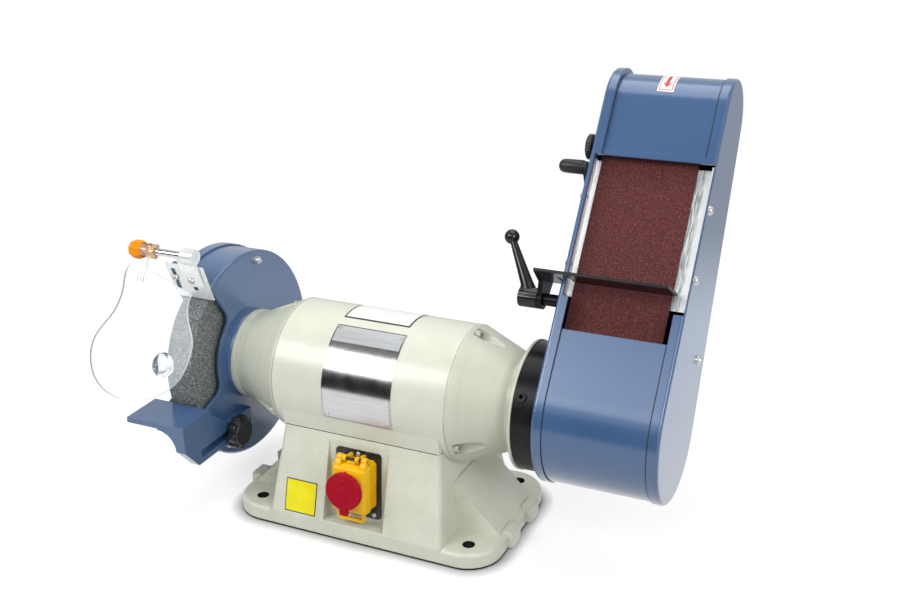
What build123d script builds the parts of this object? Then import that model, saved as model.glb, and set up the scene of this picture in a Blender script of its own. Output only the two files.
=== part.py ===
from build123d import *
import math
import os

os.makedirs("parts", exist_ok=True)

# Sizes in millimetres and angles in degrees. The origin is the middle of the base on the bench.
# X runs along the motor shaft towards the belt arm, the switch faces -Y and Z is up.

# Clearances and stock shared by many pieces
RUNNING = 0.05
SEAT = 0.02
SLIDE_GAP = 0.4
SHEET = 1.5

# Base casting
AXIS_HEIGHT = 157.0
FOOT_LENGTH = 315.0
FOOT_DEPTH = 186.0
FOOT_THICK = 18.0
FOOT_CORNER = 37.5
BENCH_HOLE_SPACING_X = 254.0
BENCH_HOLE_SPACING_Y = 142.0
BENCH_HOLE_RADIUS = 6.5
PEDESTAL_LENGTH = 208.0
PEDESTAL_TOP_LENGTH = 188.0
PEDESTAL_CORNER = 6.0
FOOT_EDGE = 4.0
FOOT_REBATE = 4.0
FOOT_REBATE_HEIGHT = 2.0
PEDESTAL_TOP_DEPTH = 134.0
SEAM_HEIGHT = 114.0
BASE_WALL = 7.0
BASE_ROOF = 38.0
WIRE_HOLE_RADIUS = 8.0
WIRE_HOLE_X = 84.0
RAMP_TOP_X = 100.0
RAMP_TOP_Z = 72.0
RAMP_END_X = 152.0
RAMP_HALF_WIDTH = 45.0
LUG_WIDTH = 22.0
LUG_OFFSET = 27.0
LUG_PROUD = 6.0
LUG_HEIGHT = 21.0
POST_SIZE = 16.0
POST_HEIGHT = 24.0
COVER_LEVEL = 4.0
COVER_THICK = 2.0
COVER_EDGE_GAP = 1.0

# Cord gland in the rear wall
GLAND_HEIGHT = 45.0
GLAND_BODY_RADIUS = 8.0
GLAND_NUT_RADIUS = 11.0
GLAND_NUT_LENGTH = 7.0
GLAND_BORE_RADIUS = 4.5
GLAND_BOSS_RADIUS = 14.0
GLAND_BOSS_INSET = 1.0
GLAND_BODY_LENGTH = 26.0

# Motor
MOTOR_RADIUS = 74.0
MOTOR_BORE_RADIUS = 62.0
MOTOR_HALF_LENGTH = 102.0
HOUSING_EDGE = 1.2
SKIRT_HALF_LENGTH = 94.0
SKIRT_HALF_DEPTH = 67.0
SKIRT_TOP_HALF_DEPTH = 73.0
SKIRT_TOP_Z = 150.0
HOUSING_SCREW_EDGE = 9.0
HOUSING_SCREW_Y = 15.0
HOUSING_SCREW_LENGTH = 18.0
BELL_FLANGE = 2.0
BELL_BORE_RADIUS = 52.0
BELL_BOSS_BORE_RADIUS = 42.0
BELL_BOSS_X = 148.0
BELL_NECK_X = 158.0
BELL_NECK_RADIUS = 51.0
LEFT_END_X = 169.8
LEFT_RIM_X = 164.0
LEFT_RIM_GROOVE_RADIUS = 50.0
LEFT_RIM_RADIUS = 51.5
RIGHT_RIM_X = 168.5
RIGHT_RIM_RADIUS = 68.5
RIGHT_RIM_END_X = 171.5
SPIGOT_RADIUS = 58.0
SPIGOT_BORE_RADIUS = 50.0
SPIGOT_END_X = 193.0
BELL_SCREW_CIRCLE = 68.0
BELL_SCREW_ANGLES = (90.0, 210.0, 330.0)
BELL_SCREW_SEAT = 3.0
BELL_SCREW_LENGTH = 22.0
BELL_POCKET_RADIUS = 9.0
BELL_POCKET_END_X = 165.0
BEARING_RADIUS = 23.5
BEARING_WIDTH = 14.0
BEARING_END_X = 165.0
SHAFT_HOLE_RADIUS = 11.0
STATOR_HALF_LENGTH = 45.0
STATOR_BORE_RADIUS = 38.0
ROTOR_RADIUS = 37.5
WINDING_END_X = 70.0
WINDING_INNER_RADIUS = 42.0
WINDING_OUTER_RADIUS = 58.0
CAPACITOR_RADIUS = 18.0
CAPACITOR_LENGTH = 80.0
CAPACITOR_Y = 30.0

# Bare name plate on the housing
NAME_PLATE_LEFT = -40.0
NAME_PLATE_RIGHT = 42.0
NAME_PLATE_LOW_ANGLE = -17.5
NAME_PLATE_HIGH_ANGLE = 66.5
NAME_PLATE_THICK = 0.8
RIVET_RADIUS = 2.2
RIVET_HEIGHT = 1.0
RIVET_EDGE_X = 5.0
RIVET_EDGE_ANGLE = 4.0

# Screws: shank radius, head radius and head height of the kinds used
CASTING_SCREW = (3.0, 5.0, 6.0)
PANEL_SCREW = (2.5, 4.0, 3.0)
DOOR_SCREW = (2.5, 5.0, 4.5)
SCREW_PLAY = 0.15
PANEL_SCREW_LENGTH = 12.0

# Switch, in its own frame on the leaning back wall of the recess
RECESS_HALF_WIDTH = 36.0
RECESS_FLOOR_Z = 20.0
RECESS_TOP_Z = 110.0
RECESS_TILT = 5.0
RECESS_DEPTH = 8.0
RECESS_REF_Z = 64.0
RECESS_WALL = 6.0
SWITCH_PLATE_WIDTH = 54.0
SWITCH_PLATE_HEIGHT = 76.0
SWITCH_PLATE_THICK = 2.0
SWITCH_PLATE_CORNER = 4.0
SWITCH_SCREW_SPOTS = ((0.0, 33.7), (19.0, -33.7))
SWITCH_BODY_WIDTH = 38.0
SWITCH_BODY_HEIGHT = 56.0
SWITCH_BODY_DEPTH = 30.0
BOX_WIDTH = 42.0
BOX_HEIGHT = 53.0
BOX_CENTRE_Z = 3.0
BOX_DEPTH = 11.0
BOX_CORNER = 4.0
LID_DEPTH = 13.0
LID_WALL = 2.5
HINGE_PIN_RADIUS = 1.5
HINGE_KNUCKLE_RADIUS = 3.5
HINGE_KNUCKLE_WIDTH = 8.0
HINGE_KNUCKLE_X = 14.0
HINGE_RISE = 5.0
BOX_EAR_WIDTH = 4.0
LATCH_WIDTH = 26.0
LATCH_DROP = 9.0
LATCH_BAR = 4.0
PADDLE_RADIUS = 21.5
PADDLE_THICK = 6.0
PADDLE_TRAVEL = 4.0
PADDLE_CENTRE_Z = 4.0
PADDLE_STEM_RADIUS = 7.0
PADDLE_TAB_WIDTH = 12.0
PADDLE_TAB_DROP = 5.0
BUTTON_SIZE = 14.0
BUTTON_PROUD = 4.5
BUTTON_DEPTH = 6.0
START_BUTTON_Z = -12.5

# Grinding wheel, guard and shaft end
WHEEL_RADIUS = 100.0
WHEEL_LEFT_X = -219.0
WHEEL_RIGHT_X = -187.0
WHEEL_BORE_RADIUS = 8.0
FLANGE_RADIUS = 32.0
FLANGE_THICK = 6.0
NUT_FLATS = 24.0
NUT_THICK = 12.0
SHAFT_END_PROUD = 2.0
SHAFT_RADIUS = 10.0
SHAFT_CORE_RADIUS = 14.0
GUARD_RADIUS = 119.0
GUARD_WALL = 3.5
GUARD_RING_RADIUS = 51.7
GUARD_RING_WIDTH = 7.2
GUARD_RING_CORNER = 3.0
GUARD_LEFT_X = -226.0
GUARD_CORNER = 2.5
MOUTH_LOW_ANGLE = -19.0
MOUTH_HIGH_ANGLE = 57.5
MOUTH_INNER_RADIUS = 63.0
MOUTH_CORNER = 14.0
GUARD_SHAFT_HOLE_RADIUS = 34.0
GUARD_COVER_THICK = 3.0
GUARD_COVER_LIP = 9.0
GUARD_COVER_LIP_THICK = 2.0
GUARD_COVER_LIP_RELIEF = 9.0
DOME_RADIUS = 44.0
DOME_DEPTH = 18.0
GUARD_BOLT_CIRCLE = 107.5
GUARD_BOLT_RADIUS = 2.5
GUARD_BOLT_ANGLES = (103.0, 200.0, 304.0)
GUARD_NUT_FLATS = 9.0
GUARD_NUT_THICK = 5.0
GUARD_SCREW_CIRCLE = 42.0
GUARD_SCREW_LENGTH = 18.0

# Spark plate, its bracket and the eye shield
SPARK_Y = -57.0
SPARK_Z = 242.3
SPARK_LEAN = 20.0
SPARK_LEFT_X = -227.0
SPARK_RIGHT_X = -178.0
SPARK_HEIGHT = 45.0
SPARK_THICK = 1.5
SPARK_SCREW_X = (-219.0, -197.0)
SPARK_SCREW_UP = 27.0
SPARK_LUG_LOW = 12.0
SPARK_LUG_HIGH = 40.0
SPARK_LUG_DEPTH = 9.0
SPARK_LUG_LEFT_X = -224.0
SPARK_LUG_RIGHT_X = -188.0
SPARK_SLOT_BELOW = 16.0
SPARK_SLOT_ABOVE = 12.0
BRACKET_LEFT_X = -207.0
BRACKET_RIGHT_X = -183.0
BRACKET_LOW = 19.0
BRACKET_THICK = 2.0
ROD_UP = 58.0
ROD_RADIUS = 4.0
ROD_CLAMP_RADIUS = 8.5
ROD_CLAMP_LEFT_X = -198.0
ROD_LEFT_X = -258.0
SHIELD_LEAN = 25.0
SHIELD_THICK = 3.0
SHIELD_CLAMP_LEFT_X = -250.5
SHIELD_CLAMP_RIGHT_X = -243.0
SHIELD_CLAMP_RADIUS = 8.5
SHIELD_NECK_DROP = 34.0
SHIELD_OUTLINE = (
    (-179.4, -39.3),
    (-182.0, -56.8),
    (-176.5, -72.0),
    (-170.0, -86.0),
    (-169.6, -105.6),
    (-180.1, -133.2),
    (-206.5, -153.7),
    (-227.0, -160.5),
    (-258.5, -160.9),
    (-286.8, -145.6),
    (-298.1, -120.7),
    (-296.8, -103.9),
    (-278.9, -74.5),
    (-269.6, -42.9),
    (-268.3, -22.1),
    (-259.8, -13.7),
)
SHIELD_BOSS_X = -201.0
SHIELD_BOSS_DROP = 118.0
SHIELD_BOSS_RADIUS = 12.5
SHIELD_BOSS_PROUD = 1.0
SHIELD_KNOB_RADIUS = 10.5
SHIELD_KNOB_LEFT_X = -266.0
SHIELD_NUT_FLATS = 16.0
SHIELD_NUT_THICK = 7.0

# Tool rest in front of the wheel
REST_LEFT_X = -240.0
REST_RIGHT_X = -166.0
REST_FRONT_Y = -149.0
REST_REAR_Y = -100.3
REST_TOP_Z = 131.0
REST_THICK = 6.0
REST_WEB_THICK = 10.5
REST_GUSSET_SIZE = 24.0
REST_GUSSET_LIP = 1.5
REST_GUSSET_REAR_Y = -124.0
REST_WEB_LOW_Z = 77.0
REST_WEB_HIGH_Z = 101.0
REST_WEB_REAR_Y = -26.0
REST_SLOPE_END_Y = -69.0
REST_WEB_FRONT_Y = -128.0
REST_SLOT_Z = 88.0
REST_SLOT_FRONT_Y = -122.0
REST_SLOT_REAR_Y = -34.0
REST_BOLT_RADIUS = 4.0
REST_BOLT_Y = -62.5
REST_BOLT_HEAD_RADIUS = 6.5
REST_KNOB_RADIUS = 19.5
REST_KNOB_THICK = 15.0
REST_KNOB_LOBES = 7

# Belt arm, built upright about the motor axis and then leaned back
ARM_TILT = 32.07
ROLLER_SPACING = 321.4
ARM_LEFT_X = 195.2
ARM_RIGHT_X = 323.2
ARM_LOW_RADIUS = 75.2
ARM_TOP_RADIUS = 43.3
RIM_WIDTH = 11.0
PLATE_CROWN = 4.0
ARM_BEND = 3.5
RIM_WINDOW_WIDTH = 5.0
WINDOW_LOW = 107.0
DOOR_WINDOW_LOW = 103.5
WINDOW_BELOW_IDLER = 62.4
LOWER_COVER_EDGE = 73.5
COVER_PLAY = 0.1
HEM_HEIGHT = 7.0
HEM_PROUD = 1.0
ARM_SHAFT_HOLE_RADIUS = 40.0
COLLAR_RADIUS = 67.5
COLLAR_SCREW_CIRCLE = 62.8
COLLAR_SCREW_ANGLES = (60.0, 180.0, 300.0)
COLLAR_SCREW_LENGTH = 14.0
SET_SCREW_RADIUS = 5.0
SET_SCREW_X = 180.0
SET_SCREW_END = 69.3
SET_SCREW_START = 58.3

# Belt, drums and platen
BELT_LEFT_X = 203.5
BELT_WIDTH = 100.0
BELT_THICK = 1.2
BELT_LOW_RADIUS = 56.0
BELT_TOP_RADIUS = 30.0
BELT_GAP = 0.3
DRUM_OVERHANG = 1.0
DRUM_RIM = 8.0
DRUM_HUB_RADIUS = 18.0
DRUM_WEB = 12.0
PLATEN_LOW = 110.0
PLATEN_BELOW_IDLER = 64.4
PLATEN_THICK = 2.0
PLATEN_GAP = 0.4
PLATEN_SIDE_GAP = 0.2
PLATEN_FLANGE = 13.0
PLATEN_SCREW_LOW = 142.0
PLATEN_SCREW_BELOW_IDLER = 107.4
PLATE_SCREW_OFF = (-53.0, -47.3)
DOOR_SCREW_OFF = (-50.0, -44.0)
DOOR_POST_SPOT = (77.0, 34.0)
DOOR_POST_RADIUS = 6.0
COVER_SCREW_LENGTH = 4.5

# Idler slide, spring, tension lever and tracking knob
SLIDE_HALF_WIDTH = 20.5
SLIDE_THICK = 4.0
SLIDE_BELOW_IDLER = 81.4
SLIDE_ABOVE_IDLER = 14.6
SLIDE_TRAVEL = 8.0
RAIL_WIDTH = 5.0
RAIL_LOW_BELOW_IDLER = 95.4
RAIL_HIGH_BELOW_IDLER = 21.4
RAIL_DEPTH = 5.0
AXLE_RADIUS = 8.5
IDLER_BEARING_RADIUS = 20.0
IDLER_BEARING_WIDTH = 12.0
TAB_THICK = 4.0
TAB_HALF_WIDTH = 8.0
SPRING_RADIUS = 5.6
SPRING_WIRE = 0.8
SPRING_PITCH = 4.0
SPRING_LENGTH = 34.0
CUP_RADIUS = 9.0
CUP_BORE_RADIUS = 7.2
CUP_LENGTH = 40.0
CUP_FLOOR = 3.0
LEVER_PIVOT_OFF = -14.0
LEVER_PIVOT_BELOW_IDLER = 95.4
LEVER_PIN_RADIUS = 4.0
LEVER_LEFT_X = 188.4
LEVER_RIGHT_X = 191.4
LEVER_PIN_END_X = 199.0
LEVER_END_RADIUS = 6.5
GRIP_OFF = -41.0
GRIP_BELOW_IDLER = 75.4
GRIP_LEFT_X = 161.0
GRIP_RADIUS = 7.5
TRACKING_OFF = -38.0
TRACKING_BELOW_IDLER = 51.9
TRACKING_RADIUS = 13.3
TRACKING_LEFT_X = 186.5
TRACKING_RIGHT_X = 193.0
TRACKING_STEM_RADIUS = 3.0
TRACKING_STEM_END_X = 201.0
TRACKING_LOBES = 18
TRACKING_FLUTE = 1.0

# Work rest across the belt and its clamp
TABLE_LEFT_X = 171.0
TABLE_RIGHT_X = 309.0
TABLE_FRONT_RIGHT_X = 307.0
TABLE_FRONT = -84.0
TABLE_LOW = 124.0
TABLE_HIGH = 127.0
TABLE_BELT_EDGE = -50.0
TABLE_RIM_EDGE = -66.0
TABLE_NOTCH_LEFT_X = 190.0
TABLE_NOTCH_RIGHT_X = 204.0
TABLE_TAB_REAR = -30.0
TABLE_LEG_THICK = 5.0
TABLE_LEG_EYE_RADIUS = 10.5
TABLE_LEG_KNEE = (-62.0, 118.0)
REST_ROD_CENTRE = (-47.0, 103.0)
REST_ROD_RADIUS = 5.0
REST_ROD_SHOULDER_RADIUS = 6.3
REST_ROD_LEFT_X = 152.0
HUB_RADIUS = 10.5
HUB_LEFT_X = 149.5
HANDLE_LOW_RADIUS = 8.0
HANDLE_TOP_RADIUS = 3.4
HANDLE_START_X = 162.0
HANDLE_END_X = 128.0
HANDLE_RISE = 60.0
BALL_RADIUS = 7.9

# Values that follow from the ones above
BEYOND = FOOT_LENGTH + FOOT_DEPTH
GLAND_BOSS_END = FOOT_DEPTH / 2 - GLAND_BOSS_INSET
HOUSING_SCREW_X = PEDESTAL_TOP_LENGTH / 2 - BASE_WALL - HOUSING_SCREW_EDGE
BELL_SCREW_SEAT_X = MOTOR_HALF_LENGTH + BELL_FLANGE + BELL_SCREW_SEAT
FRONT_LEAN = (FOOT_DEPTH - PEDESTAL_TOP_DEPTH) / 2 / (SEAM_HEIGHT - FOOT_THICK)
RECESS_REF_Y = RECESS_DEPTH + (RECESS_REF_Z - FOOT_THICK) * FRONT_LEAN - FOOT_DEPTH / 2
WINDOW_HIGH = ROLLER_SPACING - WINDOW_BELOW_IDLER
PLATEN_HIGH = ROLLER_SPACING - PLATEN_BELOW_IDLER
PLATEN_SCREW_HIGH = ROLLER_SPACING - PLATEN_SCREW_BELOW_IDLER
PLATEN_SCREW_LEVELS = (PLATEN_SCREW_LOW, PLATEN_SCREW_HIGH)
SLIDE_LOW = ROLLER_SPACING - SLIDE_BELOW_IDLER
SLIDE_HIGH = ROLLER_SPACING + SLIDE_ABOVE_IDLER
RAIL_LOW = ROLLER_SPACING - RAIL_LOW_BELOW_IDLER
RAIL_HIGH = ROLLER_SPACING - RAIL_HIGH_BELOW_IDLER
LEVER_PIVOT = (LEVER_PIVOT_OFF, ROLLER_SPACING - LEVER_PIVOT_BELOW_IDLER)
GRIP_CENTRE = (GRIP_OFF, ROLLER_SPACING - GRIP_BELOW_IDLER)
TRACKING_CENTRE = (TRACKING_OFF, ROLLER_SPACING - TRACKING_BELOW_IDLER)
ARM_INNER_LEFT_X = ARM_LEFT_X + SHEET
ARM_INNER_RIGHT_X = ARM_RIGHT_X - SHEET
BELT_RIGHT_X = BELT_LEFT_X + BELT_WIDTH
DRUM_RADIUS = BELT_LOW_RADIUS - BELT_THICK - BELT_GAP
IDLER_RADIUS = BELT_TOP_RADIUS - BELT_THICK - BELT_GAP
DRUM_LEFT_X = BELT_LEFT_X - DRUM_OVERHANG
DRUM_RIGHT_X = BELT_RIGHT_X + DRUM_OVERHANG
SHAFT_LEFT_X = WHEEL_LEFT_X - FLANGE_THICK - NUT_THICK - SHAFT_END_PROUD
SHAFT_RIGHT_X = DRUM_RIGHT_X + NUT_THICK + SHAFT_END_PROUD
GUARD_RIGHT_X = -LEFT_END_X - GUARD_RING_WIDTH
GUARD_COVER_X = GUARD_LEFT_X - GUARD_COVER_THICK
BOX_FRONT = SWITCH_PLATE_THICK + BOX_DEPTH
LID_BACK = BOX_FRONT + SLIDE_GAP
LID_FRONT = LID_BACK + LID_DEPTH
HINGE_OUT = LID_BACK + HINGE_KNUCKLE_RADIUS
HINGE_Z = BOX_CENTRE_Z + BOX_HEIGHT / 2 + HINGE_RISE

# Frames that tilted groups are built in
MOTOR = Pos(0, 0, AXIS_HEIGHT)
ARM = MOTOR * Rot(-ARM_TILT, 0, 0)
SWITCH = Pos(0, RECESS_REF_Y, RECESS_REF_Z) * Rot(-RECESS_TILT, 0, 0)
SPARK = Pos(0, SPARK_Y, SPARK_Z) * Rot(SPARK_LEAN, 0, 0)
SHIELD = SPARK * Pos(0, 0, ROD_UP) * Rot(-SPARK_LEAN - SHIELD_LEAN, 0, 0)


def block(x_from, x_to, y_from, y_to, z_from, z_to):
    """Box between two corners."""
    middle = Pos((x_from + x_to) / 2, (y_from + y_to) / 2, (z_from + z_to) / 2)
    return middle * Box(x_to - x_from, y_to - y_from, z_to - z_from)


def bar(radius, x_from, x_to, y=0.0, z=0.0):
    """Round bar along X."""
    return Pos((x_from + x_to) / 2, y, z) * Rot(0, 90, 0) * Cylinder(radius, x_to - x_from)


def tube(outer, inner, x_from, x_to, y=0.0, z=0.0):
    """Round tube along X."""
    return bar(outer, x_from, x_to, y, z) - bar(inner, x_from, x_to, y, z)


def turned(points):
    """Solid turned about X from (x, radius) points."""
    return revolve(make_face(Plane.XZ * Polyline(*points, close=True)), Axis.X)


def slab(face, x_from, x_to):
    """Face in the YZ plane drawn out along X."""
    return Pos(x_from, 0, 0) * extrude(face, x_to - x_from, dir=(1, 0, 0))


def side_face(points):
    """Face in the YZ plane from (y, z) points."""
    return make_face(Plane.YZ * Polyline(*points, close=True))


def around(radius, angle):
    """(y, z) at an angle measured from the front upwards about the shaft."""
    return -radius * math.cos(math.radians(angle)), radius * math.sin(math.radians(angle))


def wedge(low_angle, high_angle, x_from, x_to):
    """Sector of space about X between two angles."""
    middle = (low_angle + high_angle) / 2
    corners = [(0, 0)]
    for angle in (low_angle, middle, high_angle):
        corners.append(around(BEYOND, angle))
    return slab(side_face(corners), x_from, x_to)


def hex_bar(flats, x_from, x_to, y=0.0, z=0.0):
    """Hexagonal bar along X."""
    face = Plane.YZ * RegularPolygon(flats / 2, 6, major_radius=False)
    return Pos(0, y, z) * slab(face, x_from, x_to)


def screw(kind, length):
    """Screw with its head standing on the XY plane and its shank below."""
    shank_radius, head_radius, head_height = kind
    head = Pos(0, 0, head_height / 2) * Cylinder(head_radius, head_height)
    shank = Pos(0, 0, -length / 2) * Cylinder(shank_radius, length)
    return head + shank


def screw_hole(kind, length):
    """Hole that a screw of the same kind stands in."""
    return Pos(0, 0, -length / 2) * Cylinder(kind[0] + SCREW_PLAY, length)


def scalloped(radius, lobes, x_from, x_to, depth):
    """Hand knob along X with hollows round its rim."""
    knob = bar(radius, x_from, x_to)
    for lobe in range(lobes):
        y, z = around(radius + depth, lobe * 360 / lobes)
        knob -= bar(depth * 2, x_from, x_to, y, z)
    return knob


def arm_face(low_radius, top_radius):
    """Outline round the two drums: two arcs and their common tangents."""
    lean = math.asin((low_radius - top_radius) / ROLLER_SPACING)
    low_y, low_z = low_radius * math.cos(lean), low_radius * math.sin(lean)
    top_y, top_z = top_radius * math.cos(lean), ROLLER_SPACING + top_radius * math.sin(lean)
    outline = Line((-low_y, low_z), (-top_y, top_z))
    outline += ThreePointArc((-top_y, top_z), (0, ROLLER_SPACING + top_radius), (top_y, top_z))
    outline += Line((top_y, top_z), (low_y, low_z))
    outline += ThreePointArc((low_y, low_z), (0, -low_radius), (-low_y, low_z))
    return make_face(Plane.YZ * outline)


def arm_slab(inset, x_from, x_to):
    """Arm outline set in by a distance, drawn out along X."""
    return slab(arm_face(ARM_LOW_RADIUS - inset, ARM_TOP_RADIUS - inset), x_from, x_to)


def arm_tray(x_face, x_open, crown=0.0):
    """Sheet bent round the whole arm outline: a flat face and a rim with a rounded bend, prouder by crown on top."""
    inward = math.copysign(SHEET, x_open - x_face)
    outer = slab(arm_face(ARM_LOW_RADIUS, ARM_TOP_RADIUS + crown), *sorted((x_face, x_open)))
    inner = arm_slab(SHEET, *sorted((x_face + inward, x_open)))
    outer = fillet(outer.faces().sort_by(lambda face: abs(face.center().X - x_face))[0].edges(), ARM_BEND)
    floor = inner.faces().sort_by(lambda face: abs(face.center().X - x_face - inward))[0]
    return outer - fillet(floor.edges(), ARM_BEND - SHEET)


def arm_shell(inset, thick, x_from, x_to):
    """Band of sheet that follows the arm outline."""
    return arm_slab(inset, x_from, x_to) - arm_slab(inset + thick, x_from, x_to)


def band(z_from, z_to, y_from=-BEYOND, y_to=BEYOND):
    """Slice of the arm between two distances from the shaft."""
    return block(-BEYOND * 2, BEYOND * 2, y_from, y_to, z_from, z_to)


def save(name, shape):
    """Write one piece."""
    export_step(shape, f"parts/{name}.step")


# Screw places shared by the pieces they join
def housing_screw_places():
    """Up through the base roof into the motor housing."""
    head_level = SEAM_HEIGHT - BASE_ROOF
    places = []
    for x in (-HOUSING_SCREW_X, HOUSING_SCREW_X):
        for y in (-HOUSING_SCREW_Y, HOUSING_SCREW_Y):
            places.append(Pos(x, y, head_level) * Rot(180, 0, 0))
    return places


def bell_screw_places():
    """Along the shaft through both end bells into the housing."""
    places = []
    for side in (-1, 1):
        for angle in BELL_SCREW_ANGLES:
            y, z = around(BELL_SCREW_CIRCLE, angle)
            places.append(MOTOR * Pos(side * BELL_SCREW_SEAT_X, y, z) * Rot(0, side * 90, 0))
    return places


def guard_screw_places():
    """From inside the guard into the boss ring of the left end bell."""
    places = []
    for angle in BELL_SCREW_ANGLES:
        y, z = around(GUARD_SCREW_CIRCLE, angle)
        places.append(MOTOR * Pos(GUARD_RIGHT_X - GUARD_WALL, y, z) * Rot(0, -90, 0))
    return places


def bottom_cover_screw_places():
    """Up through the bottom cover into the corner posts."""
    x = PEDESTAL_LENGTH / 2 - BASE_WALL - POST_SIZE / 2
    y = FOOT_DEPTH / 2 - BASE_WALL - POST_SIZE / 2
    return [Pos(sx * x, sy * y, COVER_LEVEL) * Rot(180, 0, 0) for sx in (-1, 1) for sy in (-1, 1)]


def switch_screw_places():
    """Through the top and bottom of the switch plate."""
    front = Rot(90, 0, 0)
    return [SWITCH * Pos(x, -SWITCH_PLATE_THICK, z) * front for x, z in SWITCH_SCREW_SPOTS]


def spark_screw_places():
    """Through the spark plate into the guard lug, the right one through the bracket as well."""
    left, right = SPARK_SCREW_X
    front = Rot(90, 0, 0)
    face = SPARK_THICK + SLIDE_GAP
    return [
        SPARK * Pos(left, -face, SPARK_SCREW_UP) * front,
        SPARK * Pos(right, -face - BRACKET_THICK, SPARK_SCREW_UP) * front,
    ]


def collar_screw_places():
    """From inside the arm into the clamp collar."""
    places = []
    for angle in COLLAR_SCREW_ANGLES:
        y, z = around(COLLAR_SCREW_CIRCLE, angle)
        places.append(Pos(ARM_INNER_LEFT_X, y, z) * Rot(0, 90, 0))
    return places


def left_platen_screw_places():
    """Through the side plate into the left flange of the platen."""
    return [Pos(ARM_LEFT_X, y, z) * Rot(0, -90, 0) for z, y in zip(PLATEN_SCREW_LEVELS, PLATE_SCREW_OFF)]


def door_screw_places():
    """Through the side door into the right platen flange and the lower post."""
    spots = [*zip(PLATEN_SCREW_LEVELS, DOOR_SCREW_OFF), DOOR_POST_SPOT]
    return [Pos(ARM_RIGHT_X, y, z) * Rot(0, 90, 0) for z, y in spots]


def pierced(shape, places, kind, length):
    """Shape with the holes for a set of screws."""
    for place in places:
        shape -= place * screw_hole(kind, length)
    return shape


def wire_hole():
    """Passage for the leads from the base up into the motor."""
    return Pos(WIRE_HOLE_X, 0, SEAM_HEIGHT - BASE_ROOF) * Cylinder(WIRE_HOLE_RADIUS, BASE_ROOF * 2)


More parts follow.
